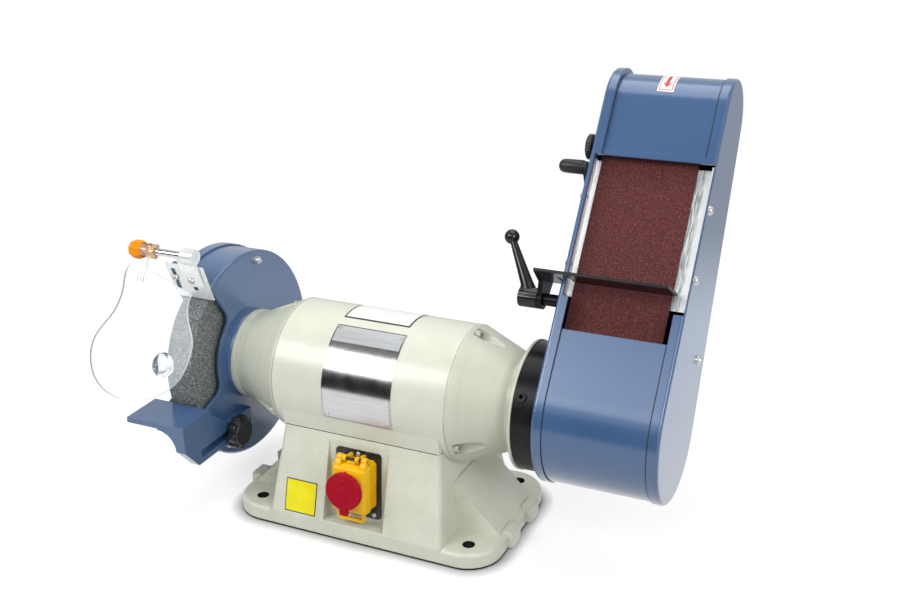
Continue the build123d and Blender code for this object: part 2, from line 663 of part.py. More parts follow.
# Base
def base_casting():
    foot = extrude(RectangleRounded(FOOT_LENGTH, FOOT_DEPTH, FOOT_CORNER), FOOT_THICK)
    foot = fillet(foot.faces().sort_by(Axis.Z)[-1].edges(), FOOT_EDGE)
    foot += extrude(Rectangle(PEDESTAL_LENGTH, FOOT_DEPTH), FOOT_THICK)
    low = Pos(0, 0, FOOT_THICK) * Rectangle(PEDESTAL_LENGTH, FOOT_DEPTH)
    high = Pos(0, 0, SEAM_HEIGHT) * Rectangle(PEDESTAL_TOP_LENGTH, PEDESTAL_TOP_DEPTH)
    pedestal = loft([low, high])
    corners = [edge for edge in pedestal.edges() if edge.bounding_box().size.Z > FOOT_THICK]
    casting = foot + fillet(corners, PEDESTAL_CORNER)
    for side in (-1, 1):
        ramp = Polyline(
            (0, FOOT_THICK),
            (side * RAMP_END_X, FOOT_THICK),
            (side * RAMP_TOP_X, RAMP_TOP_Z),
            (0, RAMP_TOP_Z),
            close=True,
        )
        casting += extrude(make_face(Plane.XZ * ramp), RAMP_HALF_WIDTH, both=True)
        for lug_side in (-1, 1):
            lug = Box(LUG_PROUD * 2, LUG_WIDTH, LUG_HEIGHT)
            casting += Pos(side * FOOT_LENGTH / 2, lug_side * LUG_OFFSET, LUG_HEIGHT / 2) * lug
    gland_start = GLAND_BOSS_END - GLAND_BODY_LENGTH
    gland_boss = extrude(Circle(GLAND_BOSS_RADIUS), BASE_WALL * 3)
    casting += Pos(0, GLAND_BOSS_END, GLAND_HEIGHT) * Rot(90, 0, 0) * gland_boss
    inset = BASE_WALL * 2
    underside = Rectangle(PEDESTAL_LENGTH - inset, FOOT_DEPTH - inset)
    hollow_top = Rectangle(PEDESTAL_TOP_LENGTH - inset, PEDESTAL_TOP_DEPTH - inset)
    hollow = extrude(underside, FOOT_THICK)
    hollow += loft([Pos(0, 0, FOOT_THICK) * underside, Pos(0, 0, SEAM_HEIGHT - BASE_ROOF) * hollow_top])
    post_middle = COVER_LEVEL + COVER_THICK + POST_HEIGHT / 2
    for place in bottom_cover_screw_places():
        corner = place.position
        hollow -= Pos(corner.X, corner.Y, post_middle) * Box(POST_SIZE, POST_SIZE, POST_HEIGHT)
    recess_front = -FOOT_DEPTH
    back = SWITCH * block(-RECESS_HALF_WIDTH, RECESS_HALF_WIDTH, recess_front, 0, -BEYOND, BEYOND)
    window = block(-BEYOND, BEYOND, -BEYOND, 0, RECESS_FLOOR_Z, RECESS_TOP_Z)
    recess = back & window
    side_wall = RECESS_HALF_WIDTH + RECESS_WALL
    shelf = SWITCH * block(-side_wall, side_wall, recess_front, RECESS_WALL, -BEYOND, BEYOND)
    hollow -= shelf & block(-BEYOND, BEYOND, -BEYOND, 0, RECESS_FLOOR_Z - RECESS_WALL, BEYOND)
    casting = casting - hollow - recess
    hole_x = SWITCH_BODY_WIDTH / 2 + SLIDE_GAP
    hole_z = SWITCH_BODY_HEIGHT / 2 + SLIDE_GAP
    casting -= SWITCH * block(-hole_x, hole_x, -RECESS_WALL, SWITCH_BODY_DEPTH + SLIDE_GAP, -hole_z, hole_z)
    gland_hole = extrude(Circle(GLAND_BODY_RADIUS + SEAT), BEYOND)
    casting -= Pos(0, gland_start, GLAND_HEIGHT) * Rot(-90, 0, 0) * gland_hole
    casting -= MOTOR * bar(MOTOR_RADIUS + SEAT, -FOOT_LENGTH / 2, FOOT_LENGTH / 2)
    casting -= wire_hole()
    standing = RectangleRounded(FOOT_LENGTH - FOOT_REBATE * 2, FOOT_DEPTH - FOOT_REBATE * 2, FOOT_CORNER - FOOT_REBATE)
    casting -= extrude(Rectangle(BEYOND, BEYOND) - standing, FOOT_REBATE_HEIGHT)
    for x in (-BENCH_HOLE_SPACING_X / 2, BENCH_HOLE_SPACING_X / 2):
        for y in (-BENCH_HOLE_SPACING_Y / 2, BENCH_HOLE_SPACING_Y / 2):
            casting -= Pos(x, y, FOOT_THICK / 2) * Cylinder(BENCH_HOLE_RADIUS, FOOT_THICK)
    casting = pierced(casting, housing_screw_places(), CASTING_SCREW, HOUSING_SCREW_LENGTH)
    casting = pierced(casting, bottom_cover_screw_places(), PANEL_SCREW, PANEL_SCREW_LENGTH)
    return pierced(casting, switch_screw_places(), PANEL_SCREW, PANEL_SCREW_LENGTH)


def base_bottom_cover():
    length = PEDESTAL_LENGTH - BASE_WALL * 2 - COVER_EDGE_GAP * 2
    depth = FOOT_DEPTH - BASE_WALL * 2 - COVER_EDGE_GAP * 2
    cover = Pos(0, 0, COVER_LEVEL) * extrude(Rectangle(length, depth), COVER_THICK)
    return pierced(cover, bottom_cover_screw_places(), PANEL_SCREW, PANEL_SCREW_LENGTH)


def cable_gland():
    start = GLAND_BOSS_END - GLAND_BODY_LENGTH
    body = extrude(Circle(GLAND_BODY_RADIUS), GLAND_BODY_LENGTH)
    nut = Pos(0, 0, GLAND_BODY_LENGTH) * extrude(RegularPolygon(GLAND_NUT_RADIUS, 6), GLAND_NUT_LENGTH)
    bore = extrude(Circle(GLAND_BORE_RADIUS), GLAND_BODY_LENGTH + GLAND_NUT_LENGTH)
    return Pos(0, start, GLAND_HEIGHT) * Rot(-90, 0, 0) * (body + nut - bore)


# Motor
def motor_housing():
    barrel = bar(MOTOR_RADIUS, -MOTOR_HALF_LENGTH, MOTOR_HALF_LENGTH)
    shell = MOTOR * fillet(barrel.edges().filter_by(GeomType.CIRCLE), HOUSING_EDGE)
    skirt = side_face((
        (-SKIRT_HALF_DEPTH, SEAM_HEIGHT),
        (SKIRT_HALF_DEPTH, SEAM_HEIGHT),
        (SKIRT_TOP_HALF_DEPTH, SKIRT_TOP_Z),
        (-SKIRT_TOP_HALF_DEPTH, SKIRT_TOP_Z),
    ))
    shell += slab(skirt, -SKIRT_HALF_LENGTH, SKIRT_HALF_LENGTH)
    shell -= MOTOR * bar(MOTOR_BORE_RADIUS, -MOTOR_HALF_LENGTH, MOTOR_HALF_LENGTH)
    shell -= wire_hole()
    shell = pierced(shell, housing_screw_places(), CASTING_SCREW, HOUSING_SCREW_LENGTH)
    return pierced(shell, bell_screw_places(), CASTING_SCREW, BELL_SCREW_LENGTH)


def bell_pockets(side):
    """Scoops for the screw heads in an end bell, running out along the cone."""
    ends = sorted((side * BELL_SCREW_SEAT_X, side * BELL_POCKET_END_X))
    return [bar(BELL_POCKET_RADIUS, *ends, *around(BELL_SCREW_CIRCLE, angle)) for angle in BELL_SCREW_ANGLES]


def end_bell(outside, seat_end, side):
    """Hollow cone with a bearing seat, from the outside points of one end."""
    inside = [
        (seat_end, SHAFT_HOLE_RADIUS),
        (BEARING_END_X, SHAFT_HOLE_RADIUS),
        (BEARING_END_X, BEARING_RADIUS + SEAT),
        (BELL_BOSS_X, BEARING_RADIUS + SEAT),
        (BELL_BOSS_X, BELL_BOSS_BORE_RADIUS),
        (MOTOR_HALF_LENGTH, BELL_BORE_RADIUS),
    ]
    cone = [
        (MOTOR_HALF_LENGTH, MOTOR_RADIUS),
        (MOTOR_HALF_LENGTH + BELL_FLANGE, MOTOR_RADIUS),
        (BELL_NECK_X, BELL_NECK_RADIUS),
    ]
    bell = turned([(side * x, radius) for x, radius in cone + outside + inside])
    for pocket in bell_pockets(side):
        bell -= pocket
    return pierced(MOTOR * bell, bell_screw_places(), CASTING_SCREW, BELL_SCREW_LENGTH)


def left_end_bell():
    outside = [
        (LEFT_RIM_X, LEFT_RIM_GROOVE_RADIUS),
        (LEFT_RIM_X, LEFT_RIM_RADIUS),
        (LEFT_END_X, LEFT_RIM_RADIUS),
    ]
    bell = end_bell(outside, LEFT_END_X, -1)
    return pierced(bell, guard_screw_places(), PANEL_SCREW, GUARD_SCREW_LENGTH)


def right_end_bell():
    outside = [
        (RIGHT_RIM_X, BELL_NECK_RADIUS),
        (RIGHT_RIM_X, RIGHT_RIM_RADIUS),
        (RIGHT_RIM_END_X, RIGHT_RIM_RADIUS),
        (RIGHT_RIM_END_X, SPIGOT_RADIUS),
        (SPIGOT_END_X, SPIGOT_RADIUS),
        (SPIGOT_END_X, SPIGOT_BORE_RADIUS),
        (RIGHT_RIM_END_X, SPIGOT_BORE_RADIUS),
    ]
    return end_bell(outside, RIGHT_RIM_END_X, 1)


def casting_screws():
    screws = [place * screw(CASTING_SCREW, HOUSING_SCREW_LENGTH) for place in housing_screw_places()]
    screws += [place * screw(CASTING_SCREW, BELL_SCREW_LENGTH) for place in bell_screw_places()]
    return Compound(children=screws)


def panel_screws():
    places = bottom_cover_screw_places() + switch_screw_places()
    screws = [place * screw(PANEL_SCREW, PANEL_SCREW_LENGTH) for place in places]
    screws += [place * screw(PANEL_SCREW, GUARD_SCREW_LENGTH) for place in guard_screw_places()]
    screws += [place * screw(PANEL_SCREW, PANEL_SCREW_LENGTH) for place in spark_screw_places()]
    return Compound(children=screws)


def stator_core():
    return MOTOR * tube(MOTOR_BORE_RADIUS - SEAT, STATOR_BORE_RADIUS, -STATOR_HALF_LENGTH, STATOR_HALF_LENGTH)


def stator_winding():
    left = tube(WINDING_OUTER_RADIUS, WINDING_INNER_RADIUS, -WINDING_END_X, -STATOR_HALF_LENGTH)
    right = tube(WINDING_OUTER_RADIUS, WINDING_INNER_RADIUS, STATOR_HALF_LENGTH, WINDING_END_X)
    return Compound(children=[MOTOR * left, MOTOR * right])


def motor_bearings():
    rings = []
    for side in (-1, 1):
        ends = sorted((side * BEARING_END_X, side * (BEARING_END_X - BEARING_WIDTH)))
        rings.append(MOTOR * tube(BEARING_RADIUS, SHAFT_RADIUS + RUNNING, ends[0], ends[1]))
    return Compound(children=rings)


def capacitor():
    level = COVER_LEVEL + COVER_THICK + CAPACITOR_RADIUS
    return bar(CAPACITOR_RADIUS, -CAPACITOR_LENGTH / 2, CAPACITOR_LENGTH / 2, CAPACITOR_Y, level)


def name_plate():
    inner = MOTOR_RADIUS + SEAT
    sheet = tube(inner + NAME_PLATE_THICK, inner, NAME_PLATE_LEFT, NAME_PLATE_RIGHT)
    sector = wedge(NAME_PLATE_LOW_ANGLE, NAME_PLATE_HIGH_ANGLE, NAME_PLATE_LEFT, NAME_PLATE_RIGHT)
    return MOTOR * (sheet & sector)


def name_plate_rivets():
    face = MOTOR_RADIUS + SEAT + NAME_PLATE_THICK
    rivets = []
    for x in (NAME_PLATE_LEFT + RIVET_EDGE_X, NAME_PLATE_RIGHT - RIVET_EDGE_X):
        for angle in (NAME_PLATE_LOW_ANGLE + RIVET_EDGE_ANGLE, NAME_PLATE_HIGH_ANGLE - RIVET_EDGE_ANGLE):
            y, z = around(face + SEAT, angle)
            head = extrude(Circle(RIVET_RADIUS), RIVET_HEIGHT)
            rivets.append(MOTOR * Pos(x, y, z) * Rot(90 - angle, 0, 0) * head)
    return Compound(children=rivets)


# Switch
def rounded_block(width, height, corner, out_from, out_to, centre_z=0.0):
    """Rounded pad standing out from the switch wall."""
    pad = extrude(RectangleRounded(width, height, corner), out_to - out_from)
    return Pos(0, -out_from, centre_z) * Rot(90, 0, 0) * pad


def switch_plate():
    plate = rounded_block(SWITCH_PLATE_WIDTH, SWITCH_PLATE_HEIGHT, SWITCH_PLATE_CORNER, 0, SWITCH_PLATE_THICK)
    return pierced(SWITCH * plate, switch_screw_places(), PANEL_SCREW, PANEL_SCREW_LENGTH)


def switch_body():
    width, height = SWITCH_BODY_WIDTH / 2, SWITCH_BODY_HEIGHT / 2
    return SWITCH * block(-width, width, 0, SWITCH_BODY_DEPTH, -height, height)


def switch_box():
    box = rounded_block(BOX_WIDTH, BOX_HEIGHT, BOX_CORNER, SWITCH_PLATE_THICK, BOX_FRONT, BOX_CENTRE_Z)
    reach = HINGE_KNUCKLE_X - HINGE_KNUCKLE_WIDTH / 2 - SLIDE_GAP
    top = BOX_CENTRE_Z + BOX_HEIGHT / 2
    for left, right in ((-reach, BOX_EAR_WIDTH - reach), (reach - BOX_EAR_WIDTH, reach)):
        ear = block(left, right, -HINGE_OUT, -SWITCH_PLATE_THICK, top - HINGE_RISE, HINGE_Z)
        ear += bar(HINGE_KNUCKLE_RADIUS, left, right, -HINGE_OUT, HINGE_Z)
        box += ear - block(left, right, -BEYOND, -BOX_FRONT, -BEYOND, top + SLIDE_GAP)
    box -= bar(HINGE_PIN_RADIUS + SEAT, -BEYOND, BEYOND, -HINGE_OUT, HINGE_Z)
    for z in (PADDLE_CENTRE_Z, START_BUTTON_Z):
        half = BUTTON_SIZE / 2 + SLIDE_GAP
        box -= block(-half, half, -BEYOND, 0, z - half, z + half)
    return SWITCH * box


def lid_hinge_pin():
    reach = HINGE_KNUCKLE_X + HINGE_KNUCKLE_WIDTH / 2
    return SWITCH * bar(HINGE_PIN_RADIUS, -reach, reach, -HINGE_OUT, HINGE_Z)


def switch_lid():
    lid = rounded_block(BOX_WIDTH, BOX_HEIGHT, BOX_CORNER, LID_BACK, LID_FRONT, BOX_CENTRE_Z)
    width, height = BOX_WIDTH - LID_WALL * 2, BOX_HEIGHT - LID_WALL * 2
    lid -= rounded_block(width, height, BOX_CORNER, LID_BACK, LID_FRONT - LID_WALL, BOX_CENTRE_Z)
    stem_hole = extrude(Circle(PADDLE_STEM_RADIUS + SLIDE_GAP), LID_DEPTH)
    lid -= Pos(0, -LID_BACK, PADDLE_CENTRE_Z) * Rot(90, 0, 0) * stem_hole
    top = BOX_CENTRE_Z + BOX_HEIGHT / 2
    for side in (-1, 1):
        left = side * HINGE_KNUCKLE_X - HINGE_KNUCKLE_WIDTH / 2
        right = left + HINGE_KNUCKLE_WIDTH
        ear = bar(HINGE_KNUCKLE_RADIUS, left, right, -HINGE_OUT, HINGE_Z)
        low = -HINGE_OUT - HINGE_KNUCKLE_RADIUS
        ear += block(left, right, low, -LID_BACK, top - LID_WALL, HINGE_Z)
        lid += ear - bar(HINGE_PIN_RADIUS + RUNNING, left, right, -HINGE_OUT, HINGE_Z)
    bottom = BOX_CENTRE_Z - BOX_HEIGHT / 2
    half = LATCH_WIDTH / 2
    loop = block(-half, half, -LID_BACK - LATCH_BAR, -LID_BACK, bottom - LATCH_DROP, bottom)
    inner = half - LATCH_BAR
    loop -= block(-inner, inner, -BEYOND, BEYOND, bottom - LATCH_DROP + LATCH_BAR, bottom)
    return SWITCH * (lid + loop)


def stop_paddle():
    back = LID_FRONT + PADDLE_TRAVEL + SLIDE_GAP
    disc = extrude(Circle(PADDLE_RADIUS), PADDLE_THICK)
    tab_end = PADDLE_RADIUS + PADDLE_TAB_DROP
    disc += Pos(0, -tab_end / 2, PADDLE_THICK / 4) * Box(PADDLE_TAB_WIDTH, tab_end, PADDLE_THICK / 2)
    tip = BOX_FRONT + BUTTON_PROUD + SLIDE_GAP
    stem = Pos(0, 0, tip - back) * extrude(Circle(PADDLE_STEM_RADIUS), back - tip)
    return SWITCH * Pos(0, -back, PADDLE_CENTRE_Z) * Rot(90, 0, 0) * (disc + stem)


def push_button(centre_z):
    half = BUTTON_SIZE / 2
    front = BOX_FRONT + BUTTON_PROUD
    return SWITCH * block(-half, half, -front, -BOX_FRONT + BUTTON_DEPTH, centre_z - half, centre_z + half)


# Grinding wheel and shaft
def rotor_shaft():
    shaft = turned([
        (SHAFT_LEFT_X, 0),
        (SHAFT_LEFT_X, WHEEL_BORE_RADIUS),
        (WHEEL_RIGHT_X + FLANGE_THICK, WHEEL_BORE_RADIUS),
        (WHEEL_RIGHT_X + FLANGE_THICK, SHAFT_RADIUS),
        (BEARING_WIDTH - BEARING_END_X + SLIDE_GAP, SHAFT_RADIUS),
        (BEARING_WIDTH - BEARING_END_X + SLIDE_GAP, SHAFT_CORE_RADIUS),
        (BEARING_END_X - BEARING_WIDTH - SLIDE_GAP, SHAFT_CORE_RADIUS),
        (BEARING_END_X - BEARING_WIDTH - SLIDE_GAP, SHAFT_RADIUS),
        (DRUM_RIGHT_X, SHAFT_RADIUS),
        (DRUM_RIGHT_X, WHEEL_BORE_RADIUS),
        (SHAFT_RIGHT_X, WHEEL_BORE_RADIUS),
        (SHAFT_RIGHT_X, 0),
    ])
    return MOTOR * shaft


def rotor_core():
    return MOTOR * tube(ROTOR_RADIUS, SHAFT_CORE_RADIUS + SEAT, -STATOR_HALF_LENGTH, STATOR_HALF_LENGTH)


def grinding_wheel():
    return MOTOR * tube(WHEEL_RADIUS, WHEEL_BORE_RADIUS + SEAT, WHEEL_LEFT_X, WHEEL_RIGHT_X)


def wheel_flanges():
    inner = tube(FLANGE_RADIUS, WHEEL_BORE_RADIUS + SEAT, WHEEL_RIGHT_X, WHEEL_RIGHT_X + FLANGE_THICK)
    outer = tube(FLANGE_RADIUS, WHEEL_BORE_RADIUS + SEAT, WHEEL_LEFT_X - FLANGE_THICK, WHEEL_LEFT_X)
    return Compound(children=[MOTOR * inner, MOTOR * outer])


def shaft_nuts():
    left_face = WHEEL_LEFT_X - FLANGE_THICK
    nuts = []
    for x_from, x_to in ((left_face - NUT_THICK, left_face), (DRUM_RIGHT_X, DRUM_RIGHT_X + NUT_THICK)):
        nut = hex_bar(NUT_FLATS, x_from, x_to) - bar(WHEEL_BORE_RADIUS + SEAT, x_from, x_to)
        nuts.append(MOTOR * nut)
    return Compound(children=nuts)


def drive_drum():
    web_left = (DRUM_LEFT_X + DRUM_RIGHT_X - DRUM_WEB) / 2
    web_right = web_left + DRUM_WEB
    inner = DRUM_RADIUS - DRUM_RIM
    drum = turned([
        (DRUM_LEFT_X, DRUM_RADIUS),
        (DRUM_RIGHT_X, DRUM_RADIUS),
        (DRUM_RIGHT_X, inner),
        (web_right, inner),
        (web_right, DRUM_HUB_RADIUS),
        (DRUM_RIGHT_X, DRUM_HUB_RADIUS),
        (DRUM_RIGHT_X, SHAFT_RADIUS + SEAT),
        (DRUM_LEFT_X, SHAFT_RADIUS + SEAT),
        (DRUM_LEFT_X, DRUM_HUB_RADIUS),
        (web_left, DRUM_HUB_RADIUS),
        (web_left, inner),
        (DRUM_LEFT_X, inner),
    ])
    return MOTOR * drum


# Guard
def mouth(x_from, x_to):
    """Open sector at the front of the guard."""
    sector = wedge(MOUTH_LOW_ANGLE, MOUTH_HIGH_ANGLE, x_from, x_to) - bar(MOUTH_INNER_RADIUS, x_from, x_to)
    edges = sector.edges().filter_by(Axis.X)
    corners = edges.sort_by(lambda edge: math.hypot(edge.center().Y, edge.center().Z))[:2]
    return fillet(corners, MOUTH_CORNER)


def spark_room():
    """Space in front of the spark plate that the guard stays clear of."""
    return SPARK * block(-BEYOND, 0, -SPARK_HEIGHT, SLIDE_GAP, 0, SPARK_HEIGHT)


def guard_bolt_holes(x_from, x_to):
    """Holes for the bolts that hold the guard cover."""
    holes = []
    for angle in GUARD_BOLT_ANGLES:
        y, z = around(GUARD_BOLT_CIRCLE, angle)
        holes.append(bar(GUARD_BOLT_RADIUS + SCREW_PLAY, x_from, x_to, y, z))
    return holes


def wheel_guard():
    guard = bar(GUARD_RADIUS, GUARD_LEFT_X, GUARD_RIGHT_X)
    guard = fillet(guard.edges().filter_by(GeomType.CIRCLE).sort_by(Axis.X)[-1], GUARD_CORNER)
    guard -= bar(GUARD_RADIUS - GUARD_WALL, GUARD_LEFT_X, GUARD_RIGHT_X - GUARD_WALL)
    ring = bar(GUARD_RING_RADIUS, GUARD_RIGHT_X - GUARD_WALL, -LEFT_END_X)
    guard += fillet(ring.edges().filter_by(GeomType.CIRCLE).sort_by(Axis.X)[-1], GUARD_RING_CORNER)
    guard -= bar(GUARD_SHAFT_HOLE_RADIUS, GUARD_LEFT_X, -LEFT_END_X)
    guard -= mouth(GUARD_LEFT_X, GUARD_RIGHT_X)
    for hole in guard_bolt_holes(GUARD_LEFT_X, GUARD_RIGHT_X):
        guard -= hole
    guard = MOTOR * guard - spark_room()
    lug = block(
        SPARK_LUG_LEFT_X,
        SPARK_LUG_RIGHT_X,
        SLIDE_GAP,
        SPARK_LUG_DEPTH,
        SPARK_LUG_LOW,
        SPARK_LUG_HIGH,
    )
    guard += SPARK * lug
    guard -= bar(REST_BOLT_RADIUS + SCREW_PLAY, GUARD_LEFT_X, GUARD_RIGHT_X, REST_BOLT_Y, REST_SLOT_Z)
    guard = pierced(guard, spark_screw_places(), PANEL_SCREW, PANEL_SCREW_LENGTH)
    return pierced(guard, guard_screw_places(), PANEL_SCREW, GUARD_SCREW_LENGTH)


def guard_cover():
    lip_outer = GUARD_RADIUS + SEAT + GUARD_COVER_LIP_THICK
    cover = bar(lip_outer, GUARD_COVER_X, GUARD_LEFT_X)
    cover += tube(lip_outer, GUARD_RADIUS + SEAT, GUARD_LEFT_X, GUARD_LEFT_X + GUARD_COVER_LIP)
    cover += bar(DOME_RADIUS, GUARD_COVER_X - DOME_DEPTH, GUARD_COVER_X)
    dome_inside = GUARD_COVER_X - DOME_DEPTH + GUARD_COVER_THICK
    cover -= bar(DOME_RADIUS - GUARD_COVER_THICK, dome_inside, GUARD_LEFT_X)
    cover -= mouth(GUARD_COVER_X, GUARD_LEFT_X + GUARD_COVER_LIP)
    lip_end = GUARD_LEFT_X + GUARD_COVER_LIP
    cover -= wedge(MOUTH_HIGH_ANGLE, MOUTH_HIGH_ANGLE + GUARD_COVER_LIP_RELIEF, GUARD_LEFT_X, lip_end)
    for hole in guard_bolt_holes(GUARD_COVER_X, GUARD_LEFT_X):
        cover -= hole
    return MOTOR * cover - spark_room()


def guard_bolts():
    pieces = []
    for angle in GUARD_BOLT_ANGLES:
        y, z = around(GUARD_BOLT_CIRCLE, angle)
        end = GUARD_RIGHT_X + GUARD_NUT_THICK + SPARK_THICK
        bolt = bar(GUARD_BOLT_RADIUS, GUARD_COVER_X, end, y, z)
        bolt += hex_bar(GUARD_NUT_FLATS, GUARD_COVER_X - GUARD_NUT_THICK, GUARD_COVER_X, y, z)
        nut = hex_bar(GUARD_NUT_FLATS, GUARD_RIGHT_X, GUARD_RIGHT_X + GUARD_NUT_THICK, y, z)
        nut -= bar(GUARD_BOLT_RADIUS + SEAT, GUARD_RIGHT_X, GUARD_RIGHT_X + GUARD_NUT_THICK, y, z)
        pieces += [MOTOR * bolt, MOTOR * nut]
    return Compound(children=pieces)


def spark_plate():
    plate = block(SPARK_LEFT_X, SPARK_RIGHT_X, -SPARK_THICK, 0, 0, SPARK_HEIGHT)
    half = PANEL_SCREW[0] + SLIDE_GAP
    for x in SPARK_SCREW_X:
        low = SPARK_SCREW_UP - SPARK_SLOT_BELOW
        plate -= block(x - half, x + half, -SPARK_THICK, 0, low, SPARK_SCREW_UP + SPARK_SLOT_ABOVE)
    return SPARK * plate


def shield_bracket():
    face = SPARK_THICK + SLIDE_GAP
    strap = block(BRACKET_LEFT_X, BRACKET_RIGHT_X, -face - BRACKET_THICK, -face, BRACKET_LOW, ROD_UP)
    strap += bar(ROD_CLAMP_RADIUS, ROD_CLAMP_LEFT_X, BRACKET_RIGHT_X, 0, ROD_UP)
    strap -= bar(ROD_RADIUS + SEAT, BRACKET_LEFT_X, BRACKET_RIGHT_X, 0, ROD_UP)
    return pierced(SPARK * strap, spark_screw_places(), PANEL_SCREW, PANEL_SCREW_LENGTH)


def shield_rod():
    return SHIELD * bar(ROD_RADIUS, ROD_LEFT_X, BRACKET_RIGHT_X)


def shield_nut():
    left = SHIELD_CLAMP_RIGHT_X + SLIDE_GAP
    right = left + SHIELD_NUT_THICK
    return SHIELD * (hex_bar(SHIELD_NUT_FLATS, left, right) - bar(ROD_RADIUS + SEAT, left, right))


def eye_shield():
    edge = Spline(*SHIELD_OUTLINE)
    edge += Line(SHIELD_OUTLINE[-1], SHIELD_OUTLINE[0])
    half = SHIELD_THICK / 2
    sheet = Pos(0, half, 0) * extrude(make_face(Plane.XZ * edge), SHIELD_THICK, dir=(0, -1, 0))
    boss = extrude(Circle(SHIELD_BOSS_RADIUS), SHIELD_THICK + SHIELD_BOSS_PROUD)
    sheet += Pos(SHIELD_BOSS_X, half, -SHIELD_BOSS_DROP) * Rot(90, 0, 0) * boss
    sheet += bar(SHIELD_CLAMP_RADIUS, SHIELD_CLAMP_LEFT_X, SHIELD_CLAMP_RIGHT_X)
    left, right = SHIELD_CLAMP_LEFT_X, SHIELD_CLAMP_RIGHT_X
    sheet += block(left, right, -SHIELD_THICK, SHIELD_THICK, -SHIELD_NECK_DROP, 0)
    sheet -= bar(ROD_RADIUS + RUNNING, SHIELD_CLAMP_LEFT_X, SHIELD_CLAMP_RIGHT_X)
    return SHIELD * sheet


def shield_knob():
    right = SHIELD_CLAMP_LEFT_X - SLIDE_GAP
    knob = scalloped(SHIELD_KNOB_RADIUS, REST_KNOB_LOBES, SHIELD_KNOB_LEFT_X, right, ROD_RADIUS / 2)
    knob -= bar(ROD_RADIUS + RUNNING, ROD_LEFT_X - SLIDE_GAP, right)
    return SHIELD * knob


# Tool rest
def tool_rest():
    web_left = GUARD_RIGHT_X + SLIDE_GAP
    web_right = web_left + REST_WEB_THICK
    under = REST_TOP_Z - REST_THICK
    table = block(REST_LEFT_X, REST_RIGHT_X, REST_FRONT_Y, REST_REAR_Y, under, REST_TOP_Z)
    web = side_face((
        (REST_FRONT_Y, under),
        (REST_REAR_Y, under),
        (REST_SLOPE_END_Y, REST_WEB_HIGH_Z),
        (REST_WEB_REAR_Y, REST_WEB_HIGH_Z),
        (REST_WEB_REAR_Y, REST_WEB_LOW_Z),
        (REST_WEB_FRONT_Y, REST_WEB_LOW_Z),
        (REST_FRONT_Y, REST_WEB_HIGH_Z),
    ))
    rest = table + slab(web, web_left, web_right)
    gusset_left = web_left - REST_GUSSET_SIZE
    gusset_low = under - REST_GUSSET_SIZE
    scoop = Rot(90, 0, 0) * Cylinder(REST_GUSSET_SIZE - REST_GUSSET_LIP, BEYOND * 2)
    gusset = block(gusset_left, web_left, REST_FRONT_Y, REST_GUSSET_REAR_Y, gusset_low, under)
    rest += gusset - Pos(gusset_left, 0, gusset_low) * scoop
    half = REST_BOLT_RADIUS + SLIDE_GAP
    low, high = REST_SLOT_Z - half, REST_SLOT_Z + half
    return rest - block(web_left, web_right, REST_SLOT_FRONT_Y, REST_SLOT_REAR_Y, low, high)


def rest_knob_face():
    """X where the tool-rest knob meets the web."""
    return GUARD_RIGHT_X + SLIDE_GAP + REST_WEB_THICK + SLIDE_GAP


def tool_rest_bolt():
    inside = GUARD_RIGHT_X - GUARD_WALL
    end = rest_knob_face() + REST_KNOB_THICK / 2
    bolt = bar(REST_BOLT_RADIUS, inside, end, REST_BOLT_Y, REST_SLOT_Z)
    return bolt + bar(REST_BOLT_HEAD_RADIUS, inside - PANEL_SCREW[2], inside, REST_BOLT_Y, REST_SLOT_Z)


def tool_rest_knob():
    face = rest_knob_face()
    knob = scalloped(REST_KNOB_RADIUS, REST_KNOB_LOBES, face, face + REST_KNOB_THICK, REST_BOLT_RADIUS)
    knob -= bar(REST_BOLT_RADIUS + RUNNING, face, face + REST_KNOB_THICK / 2 + SLIDE_GAP)
    return Pos(0, REST_BOLT_Y, REST_SLOT_Z) * knob


# Belt arm
def clamp_collar():
    collar = tube(COLLAR_RADIUS, SPIGOT_RADIUS + RUNNING, RIGHT_RIM_END_X + SLIDE_GAP, ARM_LEFT_X)
    collar -= Pos(SET_SCREW_X, 0, 0) * Rot(90, 0, 0) * extrude(Circle(SET_SCREW_RADIUS + SEAT), BEYOND)
    return ARM * pierced(collar, collar_screw_places(), PANEL_SCREW, COLLAR_SCREW_LENGTH)


def collar_set_screw():
    stud = extrude(Circle(SET_SCREW_RADIUS), SET_SCREW_END - SET_SCREW_START)
    socket = extrude(RegularPolygon(SET_SCREW_RADIUS / 2, 6), SET_SCREW_RADIUS)
    stud -= Pos(0, 0, SET_SCREW_END - SET_SCREW_START - SET_SCREW_RADIUS) * socket
    return ARM * Pos(SET_SCREW_X, -SET_SCREW_START, 0) * Rot(90, 0, 0) * stud


